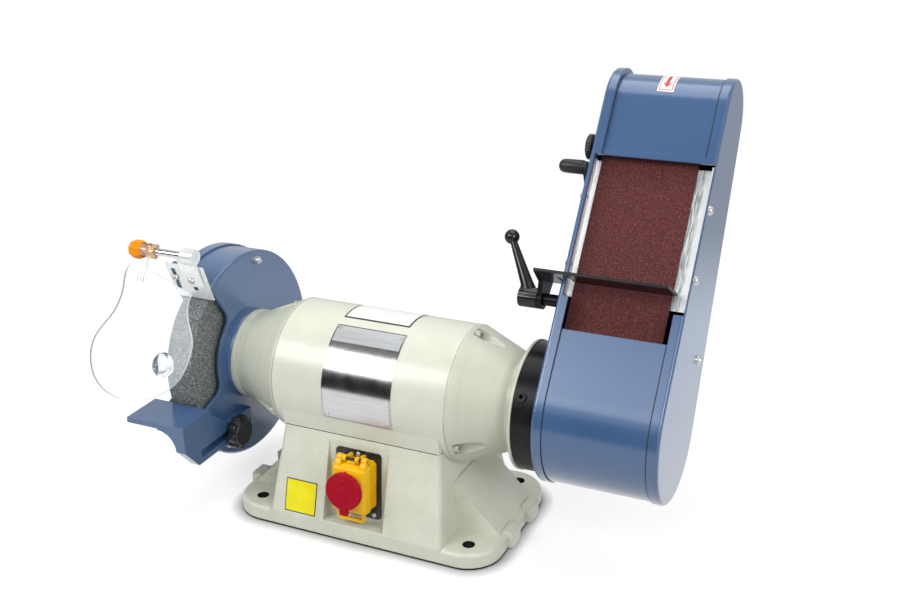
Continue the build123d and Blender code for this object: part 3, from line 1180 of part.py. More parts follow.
def arm_side_plate():
    rim_end = ARM_LEFT_X + RIM_WIDTH
    plate = arm_tray(ARM_LEFT_X, rim_end, PLATE_CROWN)
    plate -= block(ARM_LEFT_X + RIM_WINDOW_WIDTH, rim_end, -BEYOND, 0, WINDOW_LOW, WINDOW_HIGH)
    plate -= bar(ARM_SHAFT_HOLE_RADIUS, ARM_LEFT_X, ARM_INNER_LEFT_X)
    for side in (-1, 1):
        near = side * (SLIDE_HALF_WIDTH + SLIDE_GAP)
        y_from, y_to = sorted((near, near + side * RAIL_WIDTH))
        plate += block(ARM_INNER_LEFT_X, ARM_INNER_LEFT_X + RAIL_DEPTH, y_from, y_to, RAIL_LOW, RAIL_HIGH)
    cup_top = SLIDE_LOW - SLIDE_TRAVEL - SLIDE_GAP
    cup = Pos(spring_x(), 0, cup_top - CUP_LENGTH) * extrude(Circle(CUP_RADIUS), CUP_LENGTH)
    cup += block(ARM_INNER_LEFT_X, spring_x(), -CUP_RADIUS, CUP_RADIUS, cup_top - CUP_LENGTH, cup_top)
    cup -= Pos(spring_x(), 0, cup_top - CUP_LENGTH + CUP_FLOOR) * extrude(Circle(CUP_BORE_RADIUS), CUP_LENGTH)
    plate += cup
    post_z, post_y = DOOR_POST_SPOT
    plate += bar(DOOR_POST_RADIUS, ARM_INNER_LEFT_X, ARM_INNER_RIGHT_X, post_y, post_z)
    plate = pierced(plate, door_screw_places()[-1:], DOOR_SCREW, COVER_SCREW_LENGTH)
    plate -= bar(LEVER_PIN_RADIUS + RUNNING, ARM_LEFT_X, ARM_INNER_LEFT_X, *LEVER_PIVOT)
    plate -= bar(TRACKING_STEM_RADIUS + RUNNING, ARM_LEFT_X, ARM_INNER_LEFT_X, *TRACKING_CENTRE)
    plate -= bar(REST_ROD_RADIUS + SEAT, ARM_LEFT_X, ARM_INNER_LEFT_X, *REST_ROD_CENTRE)
    plate = pierced(plate, collar_screw_places(), PANEL_SCREW, COLLAR_SCREW_LENGTH)
    return ARM * pierced(plate, left_platen_screw_places(), PANEL_SCREW, COVER_SCREW_LENGTH)


def cover_band():
    """Wrapped sheet between the side plate and the side door, under their rims."""
    return arm_shell(SHEET + COVER_PLAY, SHEET, ARM_LEFT_X + ARM_BEND, ARM_RIGHT_X - ARM_BEND)


def lower_cover():
    return ARM * (cover_band() & band(-BEYOND, LOWER_COVER_EDGE))


def upper_cover():
    cover = cover_band() & band(WINDOW_HIGH, BEYOND * 2)
    hem_left = ARM_LEFT_X + RIM_WIDTH
    hem_right = ARM_RIGHT_X - RIM_WIDTH
    hem = arm_shell(SHEET - HEM_PROUD, SHEET * 2, hem_left, hem_right)
    return ARM * (cover + (hem & band(WINDOW_HIGH, WINDOW_HIGH + HEM_HEIGHT, -BEYOND, 0)))


def rear_cover():
    return ARM * (cover_band() & band(LOWER_COVER_EDGE, WINDOW_HIGH, 0, BEYOND))


def side_door():
    rim_start = ARM_RIGHT_X - RIM_WIDTH
    door = arm_tray(ARM_RIGHT_X, rim_start)
    door -= block(rim_start, ARM_INNER_RIGHT_X, -BEYOND, 0, DOOR_WINDOW_LOW, WINDOW_HIGH)
    return ARM * pierced(door, door_screw_places(), DOOR_SCREW, COVER_SCREW_LENGTH)


def cover_screws():
    screws = [place * screw(PANEL_SCREW, COLLAR_SCREW_LENGTH) for place in collar_screw_places()]
    screws += [place * screw(PANEL_SCREW, COVER_SCREW_LENGTH) for place in left_platen_screw_places()]
    screws += [place * screw(DOOR_SCREW, COVER_SCREW_LENGTH) for place in door_screw_places()]
    return Compound(children=[ARM * piece for piece in screws])


def belt_slab(inset, x_from, x_to):
    """Belt outline set in by a distance, drawn out along X."""
    return slab(arm_face(BELT_LOW_RADIUS - inset, BELT_TOP_RADIUS - inset), x_from, x_to)


def sanding_belt():
    return ARM * (belt_slab(0, BELT_LEFT_X, BELT_RIGHT_X) - belt_slab(BELT_THICK, BELT_LEFT_X, BELT_RIGHT_X))


def platen():
    left = ARM_INNER_LEFT_X + PLATEN_SIDE_GAP
    right = ARM_INNER_RIGHT_X - PLATEN_SIDE_GAP
    face = BELT_THICK + PLATEN_GAP
    channel = belt_slab(face, left, right) - belt_slab(face + PLATEN_THICK, left, right)
    flange = belt_slab(face - PLATEN_FLANGE, left, right) - belt_slab(face, left, right)
    flange -= block(left + PLATEN_THICK, right - PLATEN_THICK, -BEYOND, BEYOND, -BEYOND, BEYOND * 2)
    channel = (channel + flange) & band(PLATEN_LOW, PLATEN_HIGH, -BEYOND, 0)
    channel = pierced(channel, left_platen_screw_places(), PANEL_SCREW, COVER_SCREW_LENGTH)
    return ARM * pierced(channel, door_screw_places(), DOOR_SCREW, COVER_SCREW_LENGTH)


# Idler, tension and tracking
def slide_left_x():
    """Inner face of the idler slide, just clear of the side plate."""
    return ARM_INNER_LEFT_X + SLIDE_GAP


def spring_x():
    """Centre of the tension spring."""
    return slide_left_x() + SLIDE_THICK + CUP_RADIUS


def idler_slide():
    left = slide_left_x()
    right = left + SLIDE_THICK
    plate = block(left, right, -SLIDE_HALF_WIDTH, SLIDE_HALF_WIDTH, SLIDE_LOW, SLIDE_HIGH)
    tab_right = spring_x() + SPRING_RADIUS
    plate += block(left, tab_right, -TAB_HALF_WIDTH, TAB_HALF_WIDTH, SLIDE_LOW, SLIDE_LOW + TAB_THICK)
    return ARM * (plate + bar(AXLE_RADIUS, right, DRUM_RIGHT_X + DRUM_OVERHANG, 0, ROLLER_SPACING))


def idler_roller():
    return ARM * tube(IDLER_RADIUS, IDLER_BEARING_RADIUS + SEAT, DRUM_LEFT_X, DRUM_RIGHT_X, 0, ROLLER_SPACING)


def idler_bearings():
    rings = []
    for left in (DRUM_LEFT_X, DRUM_RIGHT_X - IDLER_BEARING_WIDTH):
        right = left + IDLER_BEARING_WIDTH
        rings.append(ARM * tube(IDLER_BEARING_RADIUS, AXLE_RADIUS + RUNNING, left, right, 0, ROLLER_SPACING))
    return Compound(children=rings)


def tension_spring():
    path = Helix(SPRING_PITCH, SPRING_LENGTH, SPRING_RADIUS)
    wire = sweep(Plane(path @ 0, z_dir=path % 0) * Circle(SPRING_WIRE), path, is_frenet=True)
    return ARM * Pos(spring_x(), 0, SLIDE_LOW - SPRING_LENGTH - SPRING_WIRE) * wire


def tension_lever():
    y, z = LEVER_PIVOT
    grip_y, grip_z = GRIP_CENTRE
    length = math.hypot(grip_y - y, grip_z - z)
    angle = math.degrees(math.atan2(grip_z - z, grip_y - y))
    link = Rot(0, 0, angle) * SlotCenterToCenter(length, LEVER_END_RADIUS * 2)
    lever = slab(Plane.YZ * Pos((y + grip_y) / 2, (z + grip_z) / 2) * link, LEVER_LEFT_X, LEVER_RIGHT_X)
    return ARM * (lever + bar(LEVER_PIN_RADIUS, LEVER_RIGHT_X, LEVER_PIN_END_X, y, z))


def tension_grip():
    grip = bar(GRIP_RADIUS, GRIP_LEFT_X, LEVER_LEFT_X, *GRIP_CENTRE)
    end = grip.edges().filter_by(GeomType.CIRCLE).sort_by(Axis.X)[0]
    return ARM * fillet(end, GRIP_RADIUS / 3)


def tracking_knob():
    knob = scalloped(TRACKING_RADIUS, TRACKING_LOBES, TRACKING_LEFT_X, TRACKING_RIGHT_X, TRACKING_FLUTE)
    knob += bar(TRACKING_STEM_RADIUS, TRACKING_RIGHT_X, TRACKING_STEM_END_X)
    return ARM * Pos(0, *TRACKING_CENTRE) * knob


# Work rest
def work_rest():
    plan = Polyline(
        (TABLE_LEFT_X, TABLE_FRONT),
        (TABLE_FRONT_RIGHT_X, TABLE_FRONT),
        (TABLE_RIGHT_X, TABLE_BELT_EDGE),
        (TABLE_NOTCH_RIGHT_X, TABLE_BELT_EDGE),
        (TABLE_NOTCH_RIGHT_X, TABLE_RIM_EDGE),
        (TABLE_NOTCH_LEFT_X, TABLE_RIM_EDGE),
        (TABLE_NOTCH_LEFT_X, TABLE_TAB_REAR),
        (TABLE_LEFT_X, TABLE_TAB_REAR),
        close=True,
    )
    table = Pos(0, 0, TABLE_LOW) * extrude(make_face(plan), TABLE_HIGH - TABLE_LOW, dir=(0, 0, 1))
    leg_right = TABLE_LEFT_X + TABLE_LEG_THICK
    eye_y, eye_z = REST_ROD_CENTRE
    leg = side_face((
        (TABLE_FRONT, TABLE_LOW),
        (TABLE_TAB_REAR, TABLE_LOW),
        (eye_y + TABLE_LEG_EYE_RADIUS, eye_z),
        (eye_y - TABLE_LEG_EYE_RADIUS, eye_z),
        TABLE_LEG_KNEE,
    ))
    table += slab(leg, TABLE_LEFT_X, leg_right)
    table += bar(TABLE_LEG_EYE_RADIUS, TABLE_LEFT_X, leg_right, eye_y, eye_z)
    return ARM * (table - bar(REST_ROD_RADIUS + RUNNING, TABLE_LEFT_X, leg_right, eye_y, eye_z))


def rest_rod():
    shoulder = TABLE_LEFT_X + TABLE_LEG_THICK + SLIDE_GAP
    rod = bar(REST_ROD_RADIUS, REST_ROD_LEFT_X, ARM_INNER_LEFT_X, *REST_ROD_CENTRE)
    return ARM * (rod + bar(REST_ROD_SHOULDER_RADIUS, shoulder, ARM_LEFT_X, *REST_ROD_CENTRE))


def clamp_lever():
    y, z = REST_ROD_CENTRE
    right = TABLE_LEFT_X - SLIDE_GAP
    hub = bar(HUB_RADIUS, HUB_LEFT_X, right, y, z)
    lean = math.degrees(math.atan2(HANDLE_END_X - HANDLE_START_X, HANDLE_RISE))
    length = math.hypot(HANDLE_END_X - HANDLE_START_X, HANDLE_RISE)
    cone = Cone(HANDLE_LOW_RADIUS, HANDLE_TOP_RADIUS, length)
    handle = Pos(HANDLE_START_X, y, z) * Rot(0, lean, 0) * Pos(0, 0, length / 2) * cone
    ball = Pos(HANDLE_END_X, y, z + HANDLE_RISE) * Rot(0, lean, 0) * Sphere(BALL_RADIUS)
    bore = bar(REST_ROD_RADIUS + RUNNING, REST_ROD_LEFT_X - SLIDE_GAP, right, y, z)
    return ARM * (hub + handle + ball - bore)


save("base_casting", base_casting())
save("base_bottom_cover", base_bottom_cover())
save("cable_gland", cable_gland())
save("motor_housing", motor_housing())
save("left_end_bell", left_end_bell())
save("right_end_bell", right_end_bell())
save("casting_screws", casting_screws())
save("panel_screws", panel_screws())
save("stator_core", stator_core())
save("stator_winding", stator_winding())
save("motor_bearings", motor_bearings())
save("capacitor", capacitor())
save("name_plate", name_plate())
save("name_plate_rivets", name_plate_rivets())
save("switch_plate", switch_plate())
save("switch_body", switch_body())
save("switch_box", switch_box())
save("lid_hinge_pin", lid_hinge_pin())
save("switch_lid", switch_lid())
save("stop_paddle", stop_paddle())
save("start_button", push_button(START_BUTTON_Z))
save("stop_button", push_button(PADDLE_CENTRE_Z))
save("rotor_shaft", rotor_shaft())
save("rotor_core", rotor_core())
save("grinding_wheel", grinding_wheel())
save("wheel_flanges", wheel_flanges())
save("shaft_nuts", shaft_nuts())
save("drive_drum", drive_drum())
save("wheel_guard", wheel_guard())
save("guard_cover", guard_cover())
save("guard_bolts", guard_bolts())
save("spark_plate", spark_plate())
save("shield_bracket", shield_bracket())
save("shield_rod", shield_rod())
save("shield_nut", shield_nut())
save("eye_shield", eye_shield())
save("shield_knob", shield_knob())
save("tool_rest", tool_rest())
save("tool_rest_bolt", tool_rest_bolt())
save("tool_rest_knob", tool_rest_knob())
save("clamp_collar", clamp_collar())
save("collar_set_screw", collar_set_screw())
save("arm_side_plate", arm_side_plate())
save("lower_cover", lower_cover())
save("upper_cover", upper_cover())
save("rear_cover", rear_cover())
save("side_door", side_door())
save("cover_screws", cover_screws())
save("sanding_belt", sanding_belt())
save("platen", platen())
save("idler_slide", idler_slide())
save("idler_roller", idler_roller())
save("idler_bearings", idler_bearings())
save("tension_spring", tension_spring())
save("tension_lever", tension_lever())
save("tension_grip", tension_grip())
save("tracking_knob", tracking_knob())
save("work_rest", work_rest())
save("rest_rod", rest_rod())
save("clamp_lever", clamp_lever())
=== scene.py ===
import math

import bmesh
import bpy
import numpy as np
from mathutils import Matrix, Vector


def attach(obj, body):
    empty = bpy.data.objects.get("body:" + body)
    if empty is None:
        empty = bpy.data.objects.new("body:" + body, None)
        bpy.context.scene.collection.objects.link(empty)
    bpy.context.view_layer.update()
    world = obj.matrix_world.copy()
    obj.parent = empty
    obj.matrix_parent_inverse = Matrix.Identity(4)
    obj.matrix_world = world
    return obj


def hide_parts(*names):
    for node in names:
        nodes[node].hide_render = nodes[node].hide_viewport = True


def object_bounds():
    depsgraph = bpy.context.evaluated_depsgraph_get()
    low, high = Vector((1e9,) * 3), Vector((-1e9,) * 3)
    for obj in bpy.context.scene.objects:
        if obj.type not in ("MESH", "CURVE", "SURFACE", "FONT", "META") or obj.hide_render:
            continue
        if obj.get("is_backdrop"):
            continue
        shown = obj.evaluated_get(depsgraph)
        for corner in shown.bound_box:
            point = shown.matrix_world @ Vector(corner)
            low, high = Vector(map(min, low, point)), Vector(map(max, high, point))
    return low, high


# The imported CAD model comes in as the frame: one object per node, in metres, Z up, front towards -Y.
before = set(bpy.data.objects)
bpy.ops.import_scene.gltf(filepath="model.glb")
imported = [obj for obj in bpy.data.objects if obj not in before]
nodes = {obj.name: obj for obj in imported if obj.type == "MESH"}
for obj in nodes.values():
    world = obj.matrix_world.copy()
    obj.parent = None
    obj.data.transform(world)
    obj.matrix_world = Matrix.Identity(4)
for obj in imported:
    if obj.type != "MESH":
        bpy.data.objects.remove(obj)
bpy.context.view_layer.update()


# Base casting
# A heavy iron foot and pedestal, sand cast and sprayed with thick light grey paint.
# The skin shows the sand as soft pebbles and every edge is rounded by the mould.
def linear(code):
    """Linear RGBA of an sRGB hex code."""
    parts = np.array([int(code[i:i + 2], 16) for i in (1, 3, 5)]) / 255
    parts = np.where(parts <= 0.04045, parts / 12.92, ((parts + 0.055) / 1.055) ** 2.4)
    return (*parts.tolist(), 1.0)


def add(tree, kind, links=None, **settings):
    """Add a shader node, set its fields, and set or link its inputs."""
    node = tree.nodes.new(kind)
    for field, value in settings.items():
        setattr(node, field, value)
    for name, value in (links or {}).items():
        if isinstance(value, bpy.types.NodeSocket):
            tree.links.new(value, node.inputs[name])
        else:
            node.inputs[name].default_value = value
    return node


def start(name, **values):
    """New material: itself, its tree, its Principled shader and its Object coordinates."""
    made = bpy.data.materials.new(name)
    made.use_nodes = True
    tree = made.node_tree
    shader = tree.nodes["Principled BSDF"]
    for socket, value in values.items():
        shader.inputs[socket.replace("_", " ")].default_value = value
    return made, tree, shader, add(tree, "ShaderNodeTexCoord").outputs["Object"]


def lumps(tree, place, size, detail=3.0, squeeze=(1, 1, 1), turn=0.0):
    """Noise whose lumps are about size millimetres, after a turn about X, squeezed along the axes."""
    turned = add(tree, "ShaderNodeMapping", {"Vector": place, "Rotation": (math.radians(turn), 0, 0)})
    shaped = add(tree, "ShaderNodeMapping", {"Vector": turned.outputs[0], "Scale": squeeze})
    links = {"Vector": shaped.outputs[0], "Scale": 1000 / size, "Detail": detail}
    return add(tree, "ShaderNodeTexNoise", links).outputs["Fac"]


def grains(tree, place, size, output="Distance"):
    """Voronoi cells about size millimetres across."""
    return add(tree, "ShaderNodeTexVoronoi", {"Vector": place, "Scale": 1000 / size}).outputs[output]


def tint(tree, factor, *stops):
    """Colour ramp of (place, hex code) stops."""
    ramp = add(tree, "ShaderNodeValToRGB", {"Fac": factor})
    band = ramp.color_ramp.elements
    while len(band) < len(stops):
        band.new(0.5)
    for element, (spot, code) in zip(band, stops):
        element.position = spot
        element.color = linear(code)
    return ramp.outputs["Color"]


def spread(tree, factor, low, high, start_at=0.3, end_at=0.7):
    """Factor stretched from start_at..end_at to low..high."""
    links = {"Value": factor, "From Min": start_at, "From Max": end_at, "To Min": low, "To Max": high}
    return add(tree, "ShaderNodeMapRange", links).outputs["Result"]


def relief(tree, shader, height, depth, strength=1.0, edge=0.0):
    """Bump of depth millimetres on the shader, over edges rounded by edge millimetres."""
    links = {"Height": height, "Distance": depth / 1000, "Strength": strength}
    if edge:
        links["Normal"] = add(tree, "ShaderNodeBevel", {"Radius": edge / 1000}, samples=4).outputs[0]
    tree.links.new(add(tree, "ShaderNodeBump", links).outputs[0], shader.inputs["Normal"])


def colour(tree, shader, source, socket="Base Color"):
    """Link a pattern to a socket of the shader."""
    tree.links.new(source, shader.inputs[socket])


def number(tree, operation, *values):
    """Result of a maths node."""
    return add(tree, "ShaderNodeMath", dict(enumerate(values)), operation=operation).outputs[0]


def vector(tree, operation, *values, result="Vector"):
    """Result of a vector maths node."""
    return add(tree, "ShaderNodeVectorMath", dict(enumerate(values)), operation=operation).outputs[result]


def axis(tree, place, name):
    """One coordinate of a vector."""
    return add(tree, "ShaderNodeSeparateXYZ", {0: place}).outputs[name]


def blend(tree, factor, one, other):
    """Colour between one and the other."""
    return add(tree, "ShaderNodeMix", {0: factor, 6: one, 7: other}, data_type="RGBA").outputs[2]


def dress(finish, *names):
    """Give CAD nodes a finish."""
    for name in names:
        for spot in nodes[name].material_slots:
            spot.material = finish


# Sand texture of 2.4 mm pebbles with finer grain under a half-gloss coat, and broad clouds of handling.
cast_paint, tree, shader, place = start("pebbled cast paint", Roughness=0.31)
skin = tint(tree, lumps(tree, place, 30), (0.3, "#CDD0BF"), (0.7, "#D8DBCB"))
# The four bench holes, 254 by 142 mm apart, are drilled; their walls are drawn near black as painted shade.
BENCH_HOLE, BENCH_HOLE_RADIUS = (0.127, 0.071, 0), 0.0067
corner = vector(tree, "MULTIPLY", vector(tree, "ABSOLUTE", place), (1, 1, 0))
gap = vector(tree, "DISTANCE", corner, BENCH_HOLE, result="Value")
hole_painted_shade = number(tree, "LESS_THAN", gap, BENCH_HOLE_RADIUS)
colour(tree, shader, blend(tree, hole_painted_shade, skin, linear("#1E1D1B")))
relief(tree, shader, lumps(tree, place, 2.4, 4.0), 1.3, 0.72, edge=2.0)
dress(cast_paint, "base_casting")


# Seam and base label
# A dark bead of sealant closes the joint between base and motor.
# The label is a bare yellow film with a printed black frame.
def rounded_loop(half_u, half_v, corner, steps=6):
    """Closed outline of a rectangle with round corners: rows of (u, v)."""
    angle = (np.arange(4)[:, None] * 90 + np.linspace(0, 90, steps)).ravel() * np.pi / 180
    way = np.stack([np.cos(angle), np.sin(angle)], axis=1)
    signs = np.repeat([[1, 1], [-1, 1], [-1, -1], [1, -1]], steps, axis=0)
    return signs * (np.array([half_u, half_v]) - corner) + corner * way


def piece(name, sheets, finish, body, slot, *stands_for):
    """One object from grids of points in millimetres, each given as (points, closed down, closed across)."""
    corners, faces, count = [], [], 0
    for points, closed_down, closed_across in sheets:
        index = np.arange(points.shape[0] * points.shape[1]).reshape(points.shape[:2]) + count
        count += index.size
        if closed_down:
            index = np.vstack([index, index[:1]])
        if closed_across:
            index = np.hstack([index, index[:, :1]])
        quads = np.stack([index[:-1, :-1], index[1:, :-1], index[1:, 1:], index[:-1, 1:]], axis=-1)
        corners.append(points.reshape(-1, 3) / 1000)
        faces.append(quads.reshape(-1, 4))
    mesh = bpy.data.meshes.new(name)
    mesh.from_pydata(np.vstack(corners).tolist(), [], np.vstack(faces).tolist())
    work = bmesh.new()
    work.from_mesh(mesh)
    bmesh.ops.remove_doubles(work, verts=work.verts, dist=1e-6)
    bmesh.ops.dissolve_degenerate(work, edges=work.edges, dist=1e-7)
    bmesh.ops.recalc_face_normals(work, faces=work.faces)
    work.to_mesh(mesh)
    work.free()
    mesh.shade_smooth()
    mesh.set_sharp_from_angle(angle=math.radians(38))
    mesh.materials.append(finish)
    made = bpy.data.objects.new(name, mesh)
    bpy.context.scene.collection.objects.link(made)
    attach(made, body)
    if stands_for:
        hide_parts(*stands_for)
    return made


SEAM_HEIGHT = 114.0
SEAM_HALF_LENGTH, SEAM_HALF_DEPTH, SEAM_CORNER = 94.0, 67.0, 4.0
bead = [(-1.0, -0.5), (0.12, -0.5), (0.12, 0.5), (-1.0, 0.5)]
rows = []
for out, up in bead:
    loop = rounded_loop(SEAM_HALF_LENGTH + out, SEAM_HALF_DEPTH + out, SEAM_CORNER + out)
    rows.append(np.column_stack([loop, np.full(len(loop), SEAM_HEIGHT + up)]))
# Dull and nearly black, with faint patches.
seam_sealant_and_joint_shade, tree, shader, place = start("dark sealant and painted joint shade", Roughness=0.7)
colour(tree, shader, tint(tree, lumps(tree, place, 5), (0.3, "#2C2D29"), (0.7, "#3A3B36")))
piece("joint_seam", [(np.stack(rows), True, True)], seam_sealant_and_joint_shade, "machine", "black_plastic")


def film(name, surface, u, v, lift, finish, slot, body="machine", rows=24):
    """Thin film between two u and two v values on surface(u, v, lift), closed by its own back."""
    across, along = np.meshgrid(np.linspace(*u, 24), np.linspace(*v, rows))
    top = surface(across, along, lift)
    under = surface(across, along, lift - 0.12)
    border = [grid[0] for grid in (top, under)], [grid[-1] for grid in (top, under)]
    ends = [grid[:, 0] for grid in (top, under)], [grid[:, -1] for grid in (top, under)]
    sheets = [(np.stack(pair), False, False) for pair in border + ends]
    return piece(name, [(top, False, False), (under, False, False), *sheets], finish, body, slot)


def pedestal_front(x, z, lift):
    """Point on the leaning front of the base: y runs back by 26 mm over a height of 96 mm."""
    lean = math.atan2(26, 96)
    y = -93 + (z - 18) * math.tan(lean)
    return np.stack([x, y - lift * math.cos(lean), z + lift * math.sin(lean)], axis=-1)


LABEL_X, LABEL_Z, LABEL_FRAME = (-85.0, -46.5), (21.0, 57.0), 1.1
# Flat print, a little uneven.
printed_black, tree, shader, place = start("printed black", Roughness=0.45)
colour(tree, shader, tint(tree, lumps(tree, place, 3), (0.3, "#1C1C1C"), (0.7, "#2A2A2A")))
# A strong lemon yellow with a slight sheen.
yellow_film, tree, shader, place = start("yellow printed film", Roughness=0.4)
colour(tree, shader, tint(tree, lumps(tree, place, 18), (0.3, "#EBDD08"), (0.7, "#F5E90F")))
film("base_label_edge", pedestal_front, LABEL_X, LABEL_Z, 0.15, printed_black, "black_plastic")
inset = np.array([LABEL_FRAME, -LABEL_FRAME])
film("base_label", pedestal_front, LABEL_X + inset, LABEL_Z + inset, 0.28, yellow_film, "yellow_plastic")

# Motor housing and end bells
# A turned alloy barrel between two cast bells, sprayed the same light grey.
# The barrel keeps the fine rings of its turning under the gloss.

# Even gloss with the lathe's rings just showing in the highlights.
motor_paint, tree, shader, place = start("smooth motor paint", Roughness=0.24)
colour(tree, shader, tint(tree, lumps(tree, place, 40), (0.3, "#D0D3C3"), (0.7, "#D8DBCB")))
relief(tree, shader, lumps(tree, place, 1.4, 2.0, (1, 0.02, 0.02)), 0.03, 0.6, edge=1.2)
dress(motor_paint, "motor_housing")
# The bells are cast; their paint is drawn a shade darker than the barrel's as painted shade, with broad rings
# from the lathe.
bell_paint_painted_shade, tree, shader, place = start("bell paint with painted shade", Roughness=0.3)
rings = lumps(tree, place, 9, 3.0, (1, 0.05, 0.05))
colour(tree, shader, tint(tree, rings, (0.3, "#C0C3B2"), (0.7, "#C8CBBA")))
relief(tree, shader, lumps(tree, place, 2.2, 3.0), 0.12, 0.5, edge=1.2)
dress(bell_paint_painted_shade, "left_end_bell", "right_end_bell")


# Screws
# Zinc plated cap screws with hexagon sockets hold the bells and the housing.
# Pan heads with cross recesses hold the panels, the switch, the guard and the arm's sheets.
# Hexagon bolts and nuts hold the guard's cover.
def ways(out):
    """Unit vectors along out and two across it."""
    out = np.array(out, float) / np.linalg.norm(out)
    side = np.cross(out, (0, 0, 1) if abs(out[2]) < 0.9 else (1, 0, 0))
    side = side / np.linalg.norm(side)
    return out, side, np.cross(out, side)


def turned(profile, origin, out, ripple=None, turns=48):
    """Profile rows of (distance along out, radius) turned about out; ripple(row, angle) scales the radius."""
    out, side, top = ways(out)
    angle = np.linspace(0, 2 * np.pi, turns, endpoint=False)
    along, radius = np.array(profile, float).T
    radius = radius[:, None] * np.ones(turns)
    if ripple is not None:
        radius = radius * ripple(np.arange(len(along))[:, None], angle[None, :])
    circle = radius[..., None] * (np.cos(angle)[:, None] * side + np.sin(angle)[:, None] * top)
    return np.array(origin, float) + along[:, None, None] * out + circle


def cap_screw(origin, out, length):
    """Cap screw of 6 mm: the socket's rows take the radius of a hexagon."""
    profile = [(3, 0), (3, 2.5), (6, 2.5), (6, 4.3), (5.4, 5), (0, 5), (0, 3), (-length, 3), (-length, 0)]

    def hexagon(row, angle):
        return np.where((row == 1) | (row == 2), 1 / np.cos((angle + np.pi / 6) % (np.pi / 3) - np.pi / 6), 1)

    return turned(profile, origin, out, hexagon), False, True


def pan_screw(origin, out, length, rim=4.0, rise=3.0):
    """Pan head: a dome h(r) = rise (1 - 0.28 r^2 - 0.72 r^8) with a cross sunk into it."""
    radius = np.append(np.linspace(0, rim, 18), [2.5, 2.5, 0])
    dome = turned(np.column_stack([np.zeros(21), radius]), (0, 0, 0), (0, 0, 1))
    reach = np.hypot(dome[..., 0], dome[..., 1]) / rim
    height = rise * (1 - 0.28 * reach**2 - 0.72 * reach**8)
    arm_width = np.minimum(np.abs(dome[..., 0]), np.abs(dome[..., 1]))
    cross = np.clip((0.75 - arm_width) / 0.3, 0, 1) * np.clip((0.62 - reach) / 0.12, 0, 1)
    height = height - 1.3 * cross
    height[18:] = np.array([0, -length, -length])[:, None]
    out, side, top = ways(out)
    grid = dome[..., :1] * side + dome[..., 1:2] * top + height[..., None] * out
    return grid + np.array(origin, float), False, True


SHAFT_HEIGHT, ARM_TILT = 157.0, 32.07


def leaned(points, degrees, y, z):
    """Points turned about X by an angle, then moved to y and z."""
    points = np.asarray(points, float)
    c, s = math.cos(math.radians(degrees)), math.sin(math.radians(degrees))
    turn = np.array([[1, 0, 0], [0, c, -s], [0, s, c]])
    return points @ turn.T + np.array([0, y, z])


def switch_frame(points):
    """From the switch's own frame, leaning back by 5 degrees in its recess, to the machine."""
    return leaned(points, -5, -72.54, 64)


def spark_frame(points):
    """From the spark plate's own frame, leaning by 20 degrees, to the machine."""
    return leaned(points, 20, -57, 242.3)


def arm_frame(points):
    """From the upright arm (x, off, distance from the shaft) to the machine."""
    return leaned(points, -ARM_TILT, 0, SHAFT_HEIGHT)


def shaft_frame(x, radius, degrees):
    """Point at a radius and an angle from the front upwards about the shaft."""
    angle = math.radians(degrees)
    return (x, -radius * math.cos(angle), SHAFT_HEIGHT + radius * math.sin(angle))


# Bright plating, faintly cloudy, with a fine grain.
zinc, tree, shader, place = start("zinc plated steel", Metallic=0.85)
colour(tree, shader, tint(tree, lumps(tree, place, 4), (0.3, "#C2C3C2"), (0.7, "#DCDDDB")))
colour(tree, shader, spread(tree, lumps(tree, place, 1.5), 0.2, 0.36), "Roughness")
relief(tree, shader, lumps(tree, place, 0.4), 0.01, 0.4)

BELL_FACE, BELL_SCREW_CIRCLE, GUARD_SCREW_CIRCLE, THIRDS = 107, 68, 42, (90, 210, 330)
caps = []
for side in (-1, 1):
    spots = [shaft_frame(side * BELL_FACE, BELL_SCREW_CIRCLE, a) for a in THIRDS]
    caps += [cap_screw(spot, (side, 0, 0), 22) for spot in spots]
caps += [cap_screw((x, y, 76), (0, 0, -1), 18) for x in (-78, 78) for y in (-15, 15)]
# The cap screws have gone dull and took some of the paint's mist.
dull_zinc, tree, shader, place = start("dull zinc plating", Metallic=0.45)
colour(tree, shader, tint(tree, lumps(tree, place, 4), (0.3, "#A9ABA1"), (0.7, "#C2C4B9")))
colour(tree, shader, spread(tree, lumps(tree, place, 1.5), 0.34, 0.5), "Roughness")
piece("cap_screws", caps, dull_zinc, "machine", "bright_steel", "casting_screws")

pans = [pan_screw((x, y, 4), (0, 0, -1), 12) for x in (-89, 89) for y in (-78, 78)]
switch_out = switch_frame((0, -1, 0)) - switch_frame((0, 0, 0))
pans += [pan_screw(switch_frame((x, -2, z)), switch_out, 12, 2.9, 1.7) for x, z in ((0, 33.7), (19, -33.7))]
pans += [pan_screw(shaft_frame(-180.5, GUARD_SCREW_CIRCLE, a), (-1, 0, 0), 18) for a in THIRDS]
spark_out = spark_frame((0, -1, 0)) - spark_frame((0, 0, 0))
pans += [pan_screw(spark_frame((x, y, 27)), spark_out, 12) for x, y in ((-219, -1.9), (-197, -3.9))]
piece("pan_screws", pans, zinc, "machine", "bright_steel", "panel_screws")

pans = [pan_screw(arm_frame((195.2, off, s)), (-1, 0, 0), 4.5) for off, s in ((-53, 142), (-47.3, 214))]
doors = ((-50, 142), (-44, 214), (34, 77))
pans += [pan_screw(arm_frame((323.2, off, s)), (1, 0, 0), 4.5, 5.0, 4.5) for off, s in doors]
COLLAR_SCREW_CIRCLE = 62.8
collar_ways = [(math.cos(a), math.sin(a)) for a in np.radians((60, 180, 300))]
collar = [(196.7, -COLLAR_SCREW_CIRCLE * c, COLLAR_SCREW_CIRCLE * s) for c, s in collar_ways]
pans += [pan_screw(arm_frame(spot), (1, 0, 0), 14) for spot in collar]
piece("arm_screws", pans, zinc, "arm", "bright_steel", "cover_screws")

GUARD_BOLT_CIRCLE, GUARD_BOLT_ANGLES = 107.5, (103, 200, 304)


